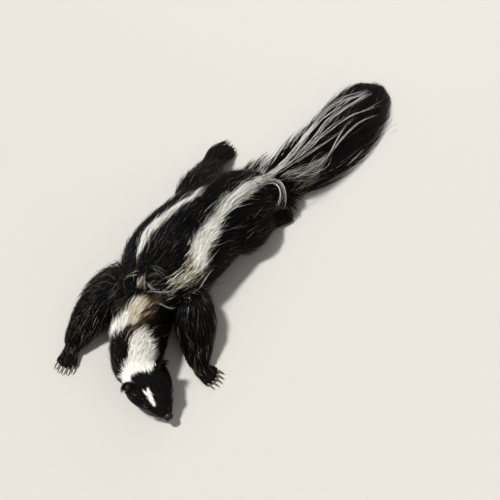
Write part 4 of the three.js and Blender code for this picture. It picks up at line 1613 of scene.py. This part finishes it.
def makeEars():
    sides, rows = ears["sides"], ears["rows"]
    share = np.concatenate([np.linspace(0.04, 1, rows), np.linspace(1, 0.04, rows)])
    back = np.concatenate([np.zeros(rows), np.ones(rows)])
    angle = np.tile(2 * np.pi * np.arange(sides) / sides, 2 * rows)
    for side, name in ((1, "left"), (-1, "right")):
        body = earPoint(side, angle, np.repeat(share, sides), np.repeat(back, sides))
        ends = earPoint(side, np.zeros(2), np.array([0.0, 0.0]), np.array([0.0, 1.0]))
        points = np.vstack([ends[:1], body, ends[1:]])
        made = makePiece(f"ear_cup_{name}", points, ballFaces(sides, 2 * rows), "earSkin")
        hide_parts(f"ear_{name}")
        earHair(side, name)


def earHair(side, name):
    count, stations = ears["tufts"], 3
    angle = random.random(count) * 2 * np.pi
    share = np.minimum(0.25 + 0.78 * np.sqrt(random.random(count)), 1)
    inside = random.random(count) < ears["inside"]
    back = np.where(inside, 0.0, 1.0)
    root = earPoint(side, angle, share, back)
    outward = earPoint(side, angle, np.minimum(share + 0.1, 1.1), back) - root
    lie = unit(outward + np.array([0, 0, 0.8]))
    facing, _ = earFacing(side)
    normal = np.where(inside[:, None], facing, -facing)
    at = np.linspace(0, 1, stations)[None, :, None]
    length = ears["hair"] * (0.7 + 0.5 * random.random(count))[:, None, None]
    paths = root[:, None] + lie[:, None] * at * length + normal[:, None] * (at * 1.4 - 0.3)
    ups = rolled(paths, np.repeat(normal[:, None], stations, axis=1), ears["hairRoll"])
    tints = np.tile(linear(colours["black"]), (count, 1))
    tints[inside] = linear(colours["brownBlack"]) * 1.6
    spots = np.column_stack([angle / (2 * np.pi), share * 0.9])
    coatPieces(f"ear_coat_{name}", paths, ups, np.full(count, ears["hairWidth"]), tints, spots)


clawGirths = [(0.8, 0.9, 1), (0.75, 0.95, 1), (0.55, 0.7, 0.7)]  # half-width, reach up and reach down
clawTip = (0.5, 0.5, 0.5)


def makeClaws():
    for name, paw in paws.items():
        bodies = []
        long, thick = paw["claw"]
        for reachOut, side in toeLines(paw):
            spots = [
                pawSpot(paw, reachOut + 0.5, side * 1.06, 4.9),
                pawSpot(paw, reachOut + 2 + long * 0.3, side * 1.1, 5.2),
                pawSpot(paw, reachOut + 3 + long * 0.65, side * 1.15, 4.4),
                pawSpot(paw, reachOut + 3 + long, side * 1.2, 1.6),
            ]
            girths = [(thick * wide, thick * up, thick * down) for wide, up, down in clawGirths] + [clawTip]
            bodies.append(loft([(*spot, *girth, 0) for spot, girth in zip(spots, girths)], sides=12, rows=14))
        points, faces = joined(bodies)
        points[:, 2] = np.maximum(points[:, 2], lowest["corner"])
        made = makePiece(f"claws_{name}", points, faces, "clawHorn")


whiskers = {
    "rows": 3, "perRow": 4, "stations": 6, "length": 24, "width": 0.34, "rootSink": 1.4,
    "along": 0.86, "apart": 0.035, "alongSpread": 0.004,  # places along the head
    "turned": 62, "rowTurn": 17, "turnSpread": 3,  # degrees round it
    "back": 0.9, "lift": (0.05, 0.1), "sweep": 5, "sag": 3,
}


def whisker(side, row, place):
    rings = np.array(regions["head"]["rings"])
    along = whiskers["along"] + whiskers["apart"] * place + random.normal(0, whiskers["alongSpread"])
    degrees = whiskers["turned"] + whiskers["rowTurn"] * row + random.normal(0, whiskers["turnSpread"])
    turned = side * math.radians(degrees)
    root = loftPoint(rings, np.array([along]), np.array([turned]), inset=np.array([whiskers["rootSink"]]))[0]
    centre = curveThrough(rings[:, :3], np.array([along]))[0]
    back = unit(onHead(-1, 0, 0) - onHead(0, 0, 0))
    lift = np.array([0, 0, random.normal(*whiskers["lift"])])
    out = unit(unit(root - centre) + whiskers["back"] * back + lift)
    length = whiskers["length"] * (0.6 + 0.5 * random.random())
    at = np.linspace(0, 1, whiskers["stations"])[:, None]
    bend = back * at ** 2 * whiskers["sweep"] - np.array([0, 0, 1]) * at ** 2 * whiskers["sag"]
    return root + out * at * length + bend


def makeWhiskers():
    paths = np.array([
        whisker(side, row, place)
        for side in (1, -1)
        for row in range(whiskers["rows"])
        for place in range(whiskers["perRow"])
    ])
    count = len(paths)
    ups = np.tile(np.array([0, 0, 1.0]), (count, whiskers["stations"], 1))
    tints = np.tile(linear(colours["black"]), (count, 1))
    spots = random.random((count, 2))
    coatPieces("whiskers", paths, ups, np.full(count, whiskers["width"]), tints, spots)


makeEyes()
makeNose()
makeEars()
makeClaws()
makeWhiskers()
print("head and feet finished")


# The floor isn't part of the animal.

floor = {"reach": 4, "below": 0.0004}  # metres

reach, low = floor["reach"], -floor["below"]
floorMesh = bpy.data.meshes.new("floor")
corners = [(-reach, -reach, low), (reach, -reach, low), (reach, reach, low), (-reach, reach, low)]
floorMesh.from_pydata(corners, [], [(0, 1, 2, 3)])
floorMesh.materials.append(materials["studioFloor"])
link(bpy.data.objects.new("floor", floorMesh))
